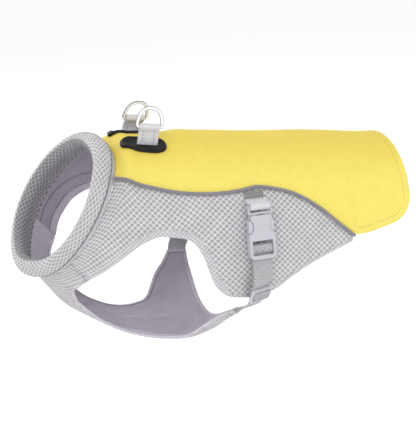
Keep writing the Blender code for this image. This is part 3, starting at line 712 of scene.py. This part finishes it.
def shell(name, spots, wall, free, seams, looks, slot, outside=None, inside=None, border=None):
    """A panel of cloth with its lining. Its free edges are rounded and its seams sink in.

    The looks are those of the outside, of the lining and of the edge, and more that border() gives.
    The edge of the first row is at the neck, where the lining shows.
    """
    base = on_section(spots)
    normal = outward(spots)
    to_free, to_seam = distance(base, free), distance(base, seams)
    edge = np.clip(to_free / 1.5, 0, 1)
    turn = (wall / 2 - 0.35) * (1 - np.sqrt(1 - (1 - edge) ** 2))
    sink = 0.9 * np.exp(-((to_seam / 1.5) ** 2))
    outer = -turn - sink
    inner = -wall + turn + 0.3 * np.exp(-((to_seam / 1.2) ** 2))
    if outside is not None:
        outer = outer + outside(to_free, to_seam)
    if inside is not None:
        inner = inner + inside(to_free, to_seam)
    outer = np.maximum(outer, inner + 0.5)
    cloth = on_cloth(spots)
    rows, columns = spots.shape[:2]
    reach = (to_free[:-1, :-1] + to_free[1:, :-1] + to_free[:-1, 1:] + to_free[1:, 1:]) / 4
    out_look, in_look = np.zeros((rows - 1, columns - 1)), np.ones((rows - 1, columns - 1))
    if border:
        out_look, in_look = border(reach, out_look, in_look)
    piece = Piece()
    piece.grid(base + outer[..., None] * normal, cloth, out_look)
    lower = piece.grid(base + inner[..., None] * normal, cloth, in_look)
    for (a, b), (c, d) in rim(rows, columns):
        first, second = a * columns + b, c * columns + d
        u, v = cloth[a, b], cloth[c, d]
        corners = (first, second, lower + second, lower + first)
        piece.face(corners, 1 if a == c == 0 else 2, [u, v, v + (0, 0.7), u + (0, 0.7)])
    return piece.finish(name, looks, slot)


def area_of(spots):
    """The area of a grid of places on the form, in square metres."""
    p = on_section(spots)
    first = np.cross(p[1:, :-1] - p[:-1, :-1], p[1:, 1:] - p[:-1, :-1])
    second = np.cross(p[1:, 1:] - p[:-1, :-1], p[:-1, 1:] - p[:-1, :-1])
    return (np.linalg.norm(first, axis=-1).sum() + np.linalg.norm(second, axis=-1).sum()) / 2 * MM**2


def side_rungs(side, count):
    on_collar = [(NECK, row.angle) for row in COLLAR_RUNGS]
    on_seam = [place("side", row.x, row.z) for row in SEAM_RUNGS]
    low = [(row.low_x, row.low_z) for row in COLLAR_RUNGS + SEAM_RUNGS]
    if side == "right":
        low[: len(RIGHT_ARMHOLE)] = RIGHT_ARMHOLE
    upper = through(on_collar, count)[:-1] + through([on_collar[-1]] + on_seam, count)
    return np.array(upper), np.array(through([place("side", *spot) for spot in low], count))


ANGLE_GAP = degrees(GAP / 2 / STATIONS[2].side)
STEPS = 8  # rows between two rungs
RUNGS = {side: side_rungs(side, STEPS) for side in SIGN}
SEAM = RUNGS["left"][0][STEPS * (len(COLLAR_RUNGS) - 1):]


def flipped(spots, side):
    return np.asarray(spots) * (1, SIGN[side])


def side_panel(side, looks):
    rows = []
    for high, low in zip(*RUNGS[side]):
        start = np.array((max(high[0], COLLAR_SEAM), high[1] + ANGLE_GAP))
        rows.append(spread(lambda t: start + np.outer(t, low - start), NEAR_SEAM, NEAR_FREE, 24))
    spots = flipped(rows, side)
    base = on_section(spots)
    free = [base[:, -1], base[-1]]
    seams = [base[:, 0], base[0]]
    armhole = np.clip((-10 - RUNGS[side][1][:, 0]) / 8, 0, 1)[:, None]
    puff = soft(spots, 26, 3.0 if side == "left" else 8.0)

    def outside(to_free, to_seam):
        calm = np.clip(np.minimum(to_free, to_seam) / 12, 0, 1)
        line = armhole * line_dip(to_free, ARMHOLE_HEM, 0.55)
        return 0.35 * puff * calm + line + (1 - armhole) * line_dip(to_free, BELLY_HEM, 0.4)

    def inside(to_free, to_seam):
        calm = np.clip(to_free / 6, 0, 1)
        lines = sum(line_dip(to_free, reach, -0.7, 0.8) for reach in LINING_SEAMS)
        return 0.5 * soft(spots, 15, 21.0) * calm + lines

    # Inside, the lining is in painted shade except within the first lining seam of the free edges.
    def border(reach, out_look, in_look):
        hem = np.where(armhole[1:] > 0.5, ARMHOLE_HEM, BELLY_HEM)
        return np.where(reach < hem, 3, out_look), np.where(reach < LINING_SEAMS[0], 4, in_look)

    # The second look is the lining made darker with painted shade; it lines most of the inside.
    made = shell(
        f"side_panel_{side}", spots, WALL, free, seams,
        (looks.mesh, looks.lining_painted_shade, looks.hem, looks.hem, looks.lining), "side_mesh",
        outside, inside, border,
    )
    return made, spots


def back_panel(looks):
    seam = [(max(s, COLLAR_SEAM), a - ANGLE_GAP, max(s, COLLAR_SEAM)) for s, a in SEAM]
    hem = [(*place("side", row.x, row.z), row.spine_x) for row in HEM_ROWS]
    edge = np.array(seam + through([seam[-1]] + hem, STEPS)[1:])
    rows = []
    for station, angle, spine in edge:

        def row(t):
            v = 2 * t - 1
            return np.stack((spine + (station - spine) * v * v, angle * v), -1)

        sewn = len(rows) < len(seam)
        near = NEAR_SEAM + (5.5, 7, 9, 11.5, 14, 17, 20, 23, 26, 30) if sewn else NEAR_FREE
        rows.append(spread(row, near, near, 34))
    spots = np.array(rows)
    base = on_section(spots)
    last = len(seam) - 1
    free = [base[last:, 0], base[last:, -1], base[-1]]
    seams = [base[: last + 1, 0], base[: last + 1, -1], base[0]]
    puff = soft(spots, 40, 5.0)
    hemmed = (np.arange(len(spots)) > last + 1)[:, None]

    def outside(to_free, to_seam):
        calm = np.clip(np.minimum(to_free, to_seam) / 15, 0, 1)
        return 0.3 * puff * calm + hemmed * line_dip(to_free, TAIL_HEM, 0.45)

    made = shell(
        "back_panel", spots, BACK_WALL, free, seams, (looks.yellow, looks.lining, looks.yellow),
        "yellow_cloth", outside, lambda to_free, to_seam: 0.2 * soft(spots, 18, 31.0),
    )
    return made, spots


def chest_edge(side):
    rows = [(COLLAR_SEAM, CHEST_SEAM_ANGLE, COLLAR_SEAM)]
    rows.append((*place(*CHEST_ROWS[0][:3]), CHEST_ROWS[0].middle))
    rows += [(*place(*row[:3]), row.middle) for row in CHEST_ROWS[1:] + WING_TIPS[side][:1]]
    tip = [rows[-1]] + [(*place(*row[:3]), row.middle) for row in WING_TIPS[side][1:]]
    return through(rows[:2], STEPS)[:-1] + through(rows[1:], STEPS)[:-1] + through(tip, 2 * STEPS)


def chest_panel(looks):
    seam_gap = degrees(1.6 * GAP / STATIONS[1].belly)
    left, right = np.array(chest_edge("left")), np.array(chest_edge("right"))
    rows = []
    for one, other in zip(left, right):

        def row(t):
            v = (2 * t - 1)[:, None]
            station, angle, middle = np.where(v < 0, one, other).T
            v = v[:, 0]
            turned = 180 - (180 - angle - seam_gap) * abs(v)
            return np.stack((middle + (station - middle) * v * v, np.where(v < 0, -turned, turned)), -1)

        rows.append(spread(row, NEAR_FREE, NEAR_FREE, 34))
    spots = np.array(rows)
    base = on_section(spots)
    seams = [base[: STEPS + 1, 0], base[: STEPS + 1, -1], base[0]]
    free = [base[STEPS:, 0], base[STEPS:, -1], base[-1]]
    near_edge = distance(base, [base[STEPS:, 0]])
    ripple = soft(spots, 13, 40.0) + 0.8 * soft(spots * (1, 0.5), 24, 44.0)

    def outside(to_free, to_seam):
        return line_dip(to_free, WING_BINDING, 0.5)

    def inside(to_free, to_seam):
        calm = np.clip((to_free - 4.5) / 8, 0, 1)
        return 1.5 * ripple * calm + line_dip(to_free, WING_BINDING, -0.6)

    def border(reach, out_look, in_look):
        bound = np.where(reach < WING_BINDING, 2, in_look)
        # Painted light: a lighter lining along the left edge.
        bound = np.where(near_edge[1:, 1:] < NEAR_LIT_BAND, 4, bound)
        return np.where(reach < WING_BINDING, 3, out_look), bound

    made = shell(
        "chest_panel", spots, WALL, free, seams,
        (looks.mesh, looks.lining, looks.binding, looks.hem, looks.lit_lining_band), "chest_mesh",
        outside, inside, border,
    )
    return made, spots


def collar(looks):
    """The padded roll, with the groove of its seam behind and soft puckers."""
    lean = radians(STATIONS[0].lean)
    ahead = np.array((-cos(lean), 0, sin(lean)))
    up = np.array((sin(lean), 0, cos(lean)))
    section = np.array(through(COLLAR_SECTION + COLLAR_SECTION[:1], 4))[:-1]
    forward, away = section.T
    outer = np.flatnonzero(away > 0)
    groove = outer[np.argmin(abs(forward[outer] - COLLAR_GROOVE))]
    dip = 0.6 * np.exp(-(((forward - COLLAR_GROOVE) / 0.9) ** 2)) * (away > -3)
    fade = np.minimum(1, forward / 3)
    close = NECK_CLOSE * (forward < 0.6)
    ways = unit(section - section.mean(0))
    angles = np.linspace(-180, 180, 161)
    rims = on_section([(NECK, angle) for angle in angles])
    section_run = lengths(np.vstack((section, section[:1])))
    cloth = [[(a, b) for b in section_run] for a in lengths(rims)]
    reaches = smooth(angles, REACH_ANGLES, np.tile(REACH, (len(angles), 1)))
    outs = np.outer(np.cos(np.radians(angles)), up) + np.outer(np.sin(np.radians(angles)), (0, 1, 0))
    points = []
    for edge, reach, out in zip(rims, reaches, outs):
        row = edge + np.outer(forward[0] + (forward - forward[0]) * reach, ahead) + np.outer(away, out)
        puff = [0.45 * noise.noise(Vector(p / 17)) + 0.2 * noise.noise(Vector(p / 6)) for p in row]
        puff = ways * ((puff - dip) * fade)[:, None]
        points.append(row + puff @ (ahead, out) - np.outer(close, ahead))
    points = np.array(points)
    row_looks = np.where(np.arange(len(section)) < groove, 1, 0)
    # Painted shade: the roll's inner side takes the darker inner look.
    row_looks[(away < INNER_SHADE_FROM) | (np.arange(len(section)) > np.argmin(away))] = 3
    row_looks[-2:] = 1
    row_looks[groove - 1 : groove + 1] = 2
    piece = Piece()
    piece.grid(points[:-1], cloth, np.tile(row_looks, (len(angles), 1)), round_rows=True, round_columns=True)
    sewn = Piece()
    sew_line(sewn, points[:, groove], outs * 0.8 - ahead * 0.6, 1.9, 0.9, 0.8, 0.35)
    sewn.finish("stitches_collar", (looks.thread,), "collar_mesh")
    return piece.finish("collar", (looks.collar, looks.hem, looks.thread, looks.inner), "collar_mesh")


# Sewing

def inset(spots, reach, sign=1):
    """Places this far beside a line of places on the form."""
    spots = np.asarray(spots, float)
    here = on_section(spots)
    by_station = (on_section(spots + (0.1, 0)) - here) / 0.1
    by_angle = (on_section(spots + (0, 0.1)) - here) / 0.1
    along = unit(np.gradient(here, axis=0))
    beside = np.cross(unit(np.cross(by_station, by_angle)), along) * sign * reach
    ways = np.stack((by_station, by_angle), -1)
    square = np.swapaxes(ways, -1, -2) @ ways
    move = np.linalg.solve(square, np.swapaxes(ways, -1, -2) @ beside[..., None])[..., 0]
    return spots + move


def stitch(piece, start, end, normal, width, height):
    """One stitch: a low, rounded bead of thread."""
    side = np.cross(normal, unit(end - start))
    base = len(piece.points)
    for t, size in ((0.0, 0.45), (0.25, 1.0), (0.75, 1.0), (1.0, 0.45)):
        for turn in np.radians((20, 90, 160, 270)):
            aside = side * cos(turn) * width / 2 + normal * sin(turn) * height
            piece.points.append(start + (end - start) * t + aside * size)
    for a in range(base, base + 12):
        b = a + (1 if (a - base) % 4 < 3 else -3)
        piece.face((a, b, b + 4, a + 4))
    piece.face(range(base, base + 4))
    piece.face(range(base + 12, base + 16))


def dot(piece, centre, way, half, normal, width, height=0.25):
    """One stitch round its middle."""
    stitch(piece, centre - way * half, centre + way * half, normal, width, height)


def sew_line(piece, points, normals, length, gap, width, height):
    """A line of stitches along these points."""
    run = lengths(points)
    at = 0.5
    while at + length < run[-1]:
        ends = at_length(points, run, (at, at + length))
        stitch(piece, *ends, unit(at_length(normals, run, at + length / 2)), width, height)
        at += length + gap


def sew(piece, spots, out, length=2.5, gap=0.8, width=0.7, height=0.3):
    """A line of stitches along places on the form, this far out from it."""
    points, normals = on_form(spots, np.full(len(spots), float(out))), outward(spots)
    sew_line(piece, points, -normals if out < -1 else normals, length, gap, width, height)


def beside(line, panel, reach):
    """Places this far from a line of places, on the side where the panel's places lie."""
    points = on_section(panel).reshape(-1, 3)
    lines = [inset(line, reach, sign) for sign in (1, -1)]
    return min(lines, key=lambda one: nearest(on_section(one), points).mean())


def sewn_lines(name, look, slot, *lines):
    """A piece of lines of stitches, each with its line of places, its panel, its distance and its sizes."""
    piece = Piece()
    for line, panel, reach, *sizes in lines:
        sew(piece, beside(line, panel, reach), *sizes)
    piece.finish(name, (look,), slot)


def panel_sewing(looks, side_spots, back_spots, chest_spots):
    seam_sizes = (-0.3, 1.8, 0.9, 0.5)
    inner = 0.25 - WALL
    for side, column in (("left", 0), ("right", -1)):
        spots = side_spots[side]
        edge = spots[:, -1]
        station = edge[:, 0]
        armhole, belly, front = edge[station < -14], edge[station > -12], edge[station < -20]
        wing, seam = chest_spots[STEPS:, column], chest_spots[: STEPS + 1, column]
        sewn_lines(
            f"stitches_armhole_{side}", looks.hem_thread, "side_mesh",
            (armhole, spots, ARMHOLE_HEM, -0.45, 2.2, 0.7, 0.8),
            (belly, spots, BELLY_HEM, -0.4, 1.8, 0.8, 0.5),
        )
        sewn_lines(f"stitches_side_{side}", looks.thread, "side_mesh", (spots[0], spots, 2.2, *seam_sizes))
        sewn_lines(
            f"stitches_lining_{side}", looks.lining_thread, "side_mesh",
            *((front, spots, reach, inner, 3.2, 0.3, 0.8) for reach in LINING_SEAMS),
        )
        sewn_lines(
            f"stitches_wing_{side}", looks.lining_thread, "chest_mesh",
            (wing, chest_spots, WING_BINDING, inner, 3.2, 0.3, 0.7),
        )
        sewn_lines(
            f"stitches_chest_{side}", looks.thread, "chest_mesh",
            (wing, chest_spots, WING_BINDING, -0.45), (seam, chest_spots, 2.2, *seam_sizes),
        )
    free = back_spots[len(SEAM) + 1:]
    hem = np.vstack((free[:-1, 0], free[-1], free[:-1, -1][::-1]))
    tail = (hem, back_spots, TAIL_HEM, -0.35, 2.2, 0.7, 0.5)
    sewn_lines("stitches_tail", looks.yellow_thread, "yellow_cloth", tail)


# Straps, rings and patches

def swept(name, look, slot, path, across, section, closed=False, body="vest"):
    """A piece with one section all along a path, of points (across, out), out being path x across."""
    path = np.asarray(path, float)
    across = unit(np.broadcast_to(across, path.shape))
    if closed:
        along = unit(np.roll(path, -1, 0) - np.roll(path, 1, 0))
    else:
        along = unit(np.concatenate((path[1:], path[-1:])) - np.concatenate((path[:1], path[:-1])))
    out = unit(np.cross(along, across))
    side = np.cross(out, along)
    section = np.asarray(section, float)
    points = path[:, None] + section[None, :, :1] * side[:, None] + section[None, :, 1:] * out[:, None]
    run = lengths(np.vstack((path, path[:1])))
    cloth = [[(a, s) for a, _ in np.vstack((section, section[:1]))] for s in run]
    piece = Piece()
    piece.grid(list(points), cloth, 0, closed, True)
    if not closed:
        size, last = len(section), (len(path) - 1) * len(section)
        piece.face(range(size))
        piece.face(range(last, last + size))
    return piece.finish(name, (look,), slot, body)


def oval(half_a, half_b, sides):
    turns = np.linspace(0, 2 * pi, sides + 1)[:-1]
    return np.stack((half_a * np.cos(turns), half_b * np.sin(turns)), -1)


def strip(width, thickness):
    """A webbing's section, with softened edges."""
    a, b = width / 2, thickness / 2
    top = [(-a + 0.25, -b), (-a + 1.2, -b), (-a / 2, -b), (0, -b), (a / 2, -b), (a - 1.2, -b), (a - 0.25, -b)]
    return np.array([*top, (a, -b * 0.4), (a, b * 0.4)] + [(x, -y) for x, y in reversed(top)] + [
        (-a, b * 0.4), (-a, -b * 0.4)
    ])


def fold(spine, bar, across, hole):
    """The path of webbing that comes up one side of a spine, round a bar and down the other."""
    legs = unit(spine[-1] - bar)
    out = unit(np.cross(legs, across))
    half = (WEBBING + STRAP_GAP) / 2
    coming, leaving = [], []
    for i, spot in enumerate(spine):
        along = unit((spine[i + 1] if i < len(spine) - 1 else bar) - (spine[i - 1] if i else spot))
        aside = unit(np.cross(-along, across))
        coming.append(spot - half * aside)
        leaving.append(spot + half * aside)
    turns = np.radians(range(60, 301, 15))[:, None]
    round_bar = bar + (hole + WEBBING / 2) * (np.cos(turns) * legs - np.sin(turns) * out)
    return coming + list(round_bar) + leaving[::-1]


def patch_place(along, across):
    angle = -(PATCH_ANGLE + degrees(across / STATIONS[3].shoulder))
    station = PATCH_X - 30
    for _ in range(12):
        station += PATCH_X + along - on_section((station, angle))[0]
    return station, angle


def rising(side, lean, bar_way):
    """The way up from the D-ring's bar at this lean outwards."""
    return square_to(np.array((0, SIGN[side] * sin(radians(lean)), cos(radians(lean)))), bar_way)


def leash_frame(side):
    """Where a leash loop stands: its spine from the panel up, the bar's middle and its direction."""
    sign = SIGN[side]
    spot = patch_place(SLOT_BEHIND_CENTRE, 0)
    foot, normal = on_form(spot), outward(spot)
    before, behind = (on_form(patch_place(SLOT_BEHIND_CENTRE + step, 0)) for step in (-5, 5))
    bar_way = unit(behind - before)
    foot, normal, bar_way = (spot * (1, -sign, 1) for spot in (foot, normal, bar_way))
    rise = rising(side, WEBBING_LEAN[side], bar_way)
    bend = foot + normal * 7
    bar = bend + rise * (BAR_HEIGHT - 7)
    spine = [foot + normal * GAP, foot + normal * 3.2]
    spine += [foot + normal * 6.2 + rise * 0.8, bend + rise * 3.2, bar - rise * 4.4]
    return spine, bar, bar_way


def leash_loop(side, looks):
    spine, bar, bar_way = leash_frame(side)
    path = finer(fold(spine, bar, bar_way, RING_HALF[1] + GAP), 1.2)
    made = swept(
        f"leash_loop_{side}", looks.webbing, "webbing", path, bar_way, strip(LEASH_WIDTH, WEBBING)
    )
    # Dark stitches through both layers, in two columns on each face.
    dots = Piece()
    run = lengths(path)
    for k in range(4):
        for at in (LEASH_STITCH + 3.1 * k, run[-1] - LEASH_STITCH - 3.1 * k):
            spot, before, behind, other = at_length(path, run, (at, at - 1, at + 1, run[-1] - at))
            away = unit(spot - other)
            for column in (-5.6, 5.2):
                centre = spot + away * (WEBBING / 2 - 0.05) + bar_way * column
                dot(dots, centre, unit(behind - before), 0.6, away, 1.2, 0.3)
    dots.finish(f"leash_stitches_{side}", (looks.dark,), "webbing")
    return made, lengths(path)[-1]


def d_ring(side, looks):
    _, bar, bar_way = leash_frame(side)
    rise = rising(side, RING_LEAN[side], bar_way)
    spots = [(RING_HALF_WIDTH * t, 0) for t in (-0.92, -0.84, -0.4, 0.4, 0.84, 0.92)]
    for k in range(13):
        turn = pi * k / 12
        reach = np.sign(cos(turn)) * abs(cos(turn)) ** 0.8
        spots.append((RING_HALF_WIDTH * reach, 1.5 + (RING_HEIGHT - 1.5) * sin(turn) ** 0.9))
    path = [bar + a * bar_way + b * rise for a, b in spots]
    path = finer(path + path[:1], 0.8)[:-1]
    return swept(
        f"d_ring_{side}", looks.chrome, "chrome", path, np.cross(bar_way, rise), oval(*RING_HALF, 20),
        closed=True, body=f"ring_{side}",
    )


def refined(node, look, slot, width, segments):
    """A copy of a hard piece whose edges are rounded off."""
    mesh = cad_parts[node].data.copy()
    mesh.name = node + "_detailed"
    work = bmesh.new()
    work.from_mesh(mesh)
    bmesh.ops.remove_doubles(work, verts=work.verts, dist=1e-6)
    bmesh.ops.dissolve_limit(work, angle_limit=radians(2), verts=work.verts, edges=work.edges)
    sharp = [e for e in work.edges if len(e.link_faces) == 2 and e.calc_face_angle(0) > radians(38)]
    bmesh.ops.bevel(
        work, geom=sharp, offset=width * MM, segments=segments, profile=0.5,
        affect="EDGES", clamp_overlap=True,
    )
    bmesh.ops.triangulate(work, faces=[f for f in work.faces if len(f.verts) > 4])
    bmesh.ops.recalc_face_normals(work, faces=work.faces)
    work.to_mesh(mesh)
    work.free()
    mesh.materials.clear()
    return dress(mesh, node, (look,), slot, "vest", 50)


def buckle_frame(side):
    """The buckle's mouth, and its axes across, down and out."""
    sign = SIGN[side]
    mouth, end = np.array((BUCKLE_MOUTH, BUCKLE_END)) * (1, sign, 1)
    down = unit(end - mouth)
    across = square_to(np.array((sign, 0, 0)), down)
    return mouth, across, down, np.cross(across, down)


def strap_anchor(side, looks):
    sign = SIGN[side]
    low, high = (place("side", BUCKLE_MOUTH[0], z) for z in ANCHOR)
    rows, columns = 9, 25
    up, over = np.linspace(0, 1, rows), np.linspace(0, 1, columns)
    middle = low + np.outer(up, high - low)
    stations = middle[:, :1] + WEBBING_WIDTH * (over - 0.5)
    grid = np.stack(np.broadcast_arrays(stations, sign * middle[:, 1:]), -1)
    base, normal = on_section(grid), outward(grid)
    edge = np.clip(distance(base, [base[0], base[-1], base[:, 0], base[:, -1]]) / 0.9, 0, 1)
    thick = WEBBING * (0.55 + 0.45 * np.sqrt(1 - (1 - edge) ** 2))
    piece = Piece()
    cloth = [[(ANCHOR_DEPTH * i, WEBBING_WIDTH * j) for j in over] for i in up]
    piece.grid(base + (GAP + thick)[..., None] * normal, cloth)
    lower = piece.grid(base + GAP * normal, cloth)
    for (a, b), (c, d) in rim(rows, columns):
        first, second = a * columns + b, c * columns + d
        piece.face((first, second, lower + second, lower + first))
    return piece.finish(f"strap_anchor_{side}", (looks.woven,), "woven_anchor")


def buckle_loop(side, looks):
    mouth, across, down, _ = buckle_frame(side)
    foot = place("side", BUCKLE_MOUTH[0], ANCHOR[0] - 1.2)
    sign = SIGN[side]
    bar = mouth + down * MALE_BAR
    low = on_form((foot[0], sign * foot[1]), GAP + WEBBING + 0.3)
    near = bar + 4.2 * unit(low - bar)
    path = finer(fold([low, (low + near) / 2, near], bar, across, 2.0 + GAP), 1.0)
    made = swept(
        f"buckle_loop_{side}", looks.webbing, "webbing", path, across, strip(WEBBING_WIDTH, WEBBING)
    )
    dots = Piece()
    way = unit(bar - low)
    face = unit(np.cross(across, way))
    face = face if face[1] * sign > 0 else -face
    for k in range(5):
        centre = low + way * 1.6 + across * (-6.8 + 3.4 * k) + face * (WEBBING + STRAP_GAP / 2 - 0.05)
        dot(dots, centre, across, 0.7, face, 1.1)
    dots.finish(f"buckle_stitches_{side}", (looks.dark,), "webbing")
    return made, lengths(path)[-1]


def wing_tip(side):
    """The middle of the tip's edge, the direction along it and the one out of the cloth."""
    sign = SIGN[side]
    (a, b), (c, d) = (place(*row[:3]) for row in WING_TIPS[side])
    first, second = on_form((a, sign * b), -WALL / 2), on_form((c, sign * d), -WALL / 2)
    across = unit(second - first) * sign
    middle = (a + c) / 2, (b + d) / 2
    beyond = on_form((middle[0], sign * (middle[1] - 2))) - on_form((middle[0], sign * middle[1]))
    return (first + second) / 2, across, square_to(beyond, across)


def slider_frame(side):
    """The slider's middle, and its axes across, up and out."""
    mouth, _, down, _ = buckle_frame(side)
    middle, across = np.array(SLIDERS[side].middle), unit(SLIDERS[side].across)
    tip, _, _ = wing_tip(side)
    up = unit(unit(mouth + down * FEMALE_LENGTH - middle) + unit(middle - tip))
    up = square_to(up, across)
    return middle, across, up, unit(np.cross(across, -up))


def adjusting_strap(side, looks):
    """Webbing from the wing's tip through the slider, round the buckle's middle bar and down behind."""
    mouth, across, down, out = buckle_frame(side)
    slider, slider_across, up, slider_out = slider_frame(side)
    tip, tip_across, tip_way = wing_tip(side)
    weave = [slider + up * row.up + slider_out * row.out for row in WEAVE]
    turn = [mouth + down * row.down + out * row.out for row in BAR_TURN]
    behind = slider - slider_out * 4.1
    path = [(*(tip - tip_way * SEWN_IN), *tip_across)]

    def go(start, end, leave, arrive, first_way, last_way, steps):
        reach = np.linalg.norm(end - start)
        for t in steps:
            spot = cubic(start, end, leave * reach, arrive * reach, t)
            path.append((*spot, *unit(first_way * (1 - t) + last_way * t)))

    go(tip + tip_way * 0.7, weave[0], tip_way, up, tip_across, slider_across, (0, 0.1, 0.35, 0.6, 0.85))
    path += [(*spot, *slider_across) for spot in weave]
    go(weave[-1], turn[0], up, -down, slider_across, across, (0.25, 0.5, 0.75))
    path += [(*spot, *across) for spot in turn]
    last = behind + up * WEAVE[-1].up
    go(turn[-1], last, down, -up, across, slider_across, (0.25, 0.5, 0.75, 1))
    path += [(*(behind + up * 6), *slider_across), (*behind, *slider_across)]
    fine = finer(path, 1.2)
    made = swept(
        f"adjusting_strap_{side}", looks.strap, "webbing", fine[:, :3], fine[:, 3:],
        strip(WEBBING_WIDTH, WEBBING),
    )
    dots = Piece()
    start = np.array(path[1][:3])
    way = unit(np.array(path[3][:3]) - start)
    face = unit(np.cross(way, tip_across))
    for sign in (-1, 1):
        for row in range(2):
            for column in (-6.5, -2.2, 2.2, 6.5):
                centre = start + way * (1.6 + 2.8 * row) + tip_across * column + face * sign * WEBBING / 2
                dot(dots, centre, tip_across, 0.6, face * sign, 0.9)
    for column in (-6, -2, 2, 6):
        centre = slider + slider_out * (2.4 + WEBBING / 2) + slider_across * column
        dot(dots, centre, slider_across, 0.6, slider_out, 0.9)
    for column in (-6.5, 0, 6.5):
        centre = mouth + down * 33.2 + out * (2.45 + WEBBING / 2) + across * column
        dot(dots, centre, across, 0.7, out, 1.1)
    dots.finish(f"strap_stitches_{side}", (looks.dark,), "webbing")
    return made, lengths(fine[:, :3])[-1]


def piping(side, looks):
    sign = SIGN[side]
    places = np.array([(max(s, NECK + 1.3), sign * a) for s, a in SEAM])
    path = on_form(places, np.full(len(places), CORD / 2 + GAP))
    return swept(
        f"piping_{side}", looks.piping, "piping", path, outward(places), oval(CORD / 2, CORD / 2, 14)
    )


# The studio

CAMERA_AZIMUTH = -21
CAMERA_HEIGHT = 18
CAMERA_DISTANCE = 1.1
SENSOR = 36
VIEW_HEIGHT = 0.423  # seen at the camera's distance
FLOOR_Z = -0.45
FLOOR_HALF = 12
Light = namedtuple("Light", "name spot target size power")
LIGHTS = table(
    Light,
    ("key", (-1.0, -1.8, 1.0), (0, 0, -0.08), 1.2, 17),
    ("fill", (1.7, -1.2, 0.8), (0, 0, -0.1), 1.6, 4),
    ("back", (-0.9, 1.7, 0.7), (0, 0, -0.1), 1.2, 14),
)


def stand(name, data, spot, way):
    """An object at a spot that looks this way."""
    made = show(name, data)
    made.location = spot
    made.rotation_mode = "QUATERNION"
    made.rotation_quaternion = way.to_track_quat("-Z", "Y")
    return made


def camera():
    data = bpy.data.cameras.new("camera")
    data.sensor_width = SENSOR
    data.lens = SENSOR * CAMERA_DISTANCE / VIEW_HEIGHT
    data.clip_start, data.clip_end = 0.01, 100
    azimuth, height = radians(CAMERA_AZIMUTH), radians(CAMERA_HEIGHT)
    back = Vector((sin(azimuth) * cos(height), -cos(azimuth) * cos(height), sin(height)))
    target = Vector(-HOLD * MM)
    bpy.context.scene.camera = stand("camera", data, target + back * CAMERA_DISTANCE, -back)


def studio():
    floor = bpy.data.meshes.new("floor")
    corners = [(a * FLOOR_HALF, b * FLOOR_HALF, FLOOR_Z) for a, b in ((-1, -1), (1, -1), (1, 1), (-1, 1))]
    floor.from_pydata(corners, [], [(0, 1, 2, 3)])
    floor.materials.append(new_look("floor", 0.9, colour=(0.955, 0.955, 0.955)))
    made = show("floor", floor)
    world = bpy.data.worlds.new("studio")
    world.use_nodes = True
    world.node_tree.nodes["Background"].inputs[0].default_value = (1, 1, 1, 1)
    world.node_tree.nodes["Background"].inputs[1].default_value = 1.0
    bpy.context.scene.world = world
    bpy.context.scene.view_settings.view_transform = "Standard"
    for row in LIGHTS:
        data = bpy.data.lights.new(row.name, "AREA")
        data.shape = "DISK"
        data.size = row.size
        data.energy = row.power
        stand(row.name, data, row.spot, Vector(row.target) - Vector(row.spot))


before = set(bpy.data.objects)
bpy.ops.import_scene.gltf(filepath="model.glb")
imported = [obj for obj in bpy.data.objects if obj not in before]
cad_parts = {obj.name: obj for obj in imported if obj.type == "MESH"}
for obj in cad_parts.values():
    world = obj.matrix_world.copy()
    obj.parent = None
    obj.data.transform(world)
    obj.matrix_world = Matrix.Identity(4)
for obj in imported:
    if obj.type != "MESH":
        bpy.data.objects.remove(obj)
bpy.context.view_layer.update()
looks = make_looks()

back, back_spots = back_panel(looks)
sides = {side: side_panel(side, looks) for side in SIGN}
chest, chest_spots = chest_panel(looks)
neck_roll = collar(looks)
panel_sewing(looks, {side: made[1] for side, made in sides.items()}, back_spots, chest_spots)

for side in SIGN:
    piping(side, looks)
    d_ring(side, looks)
    loop, loop_length = leash_loop(side, looks)
    anchor = strap_anchor(side, looks)
    upper, upper_length = buckle_loop(side, looks)
    strap, strap_length = adjusting_strap(side, looks)
    for part, slot, width, segments in ROUNDED:
        refined(f"{part}_{side}", getattr(looks, slot), slot, width, segments)
    made, spots = sides[side]
    area_of(spots)

area_of(back_spots)
area_of(chest_spots)
camera()
studio()
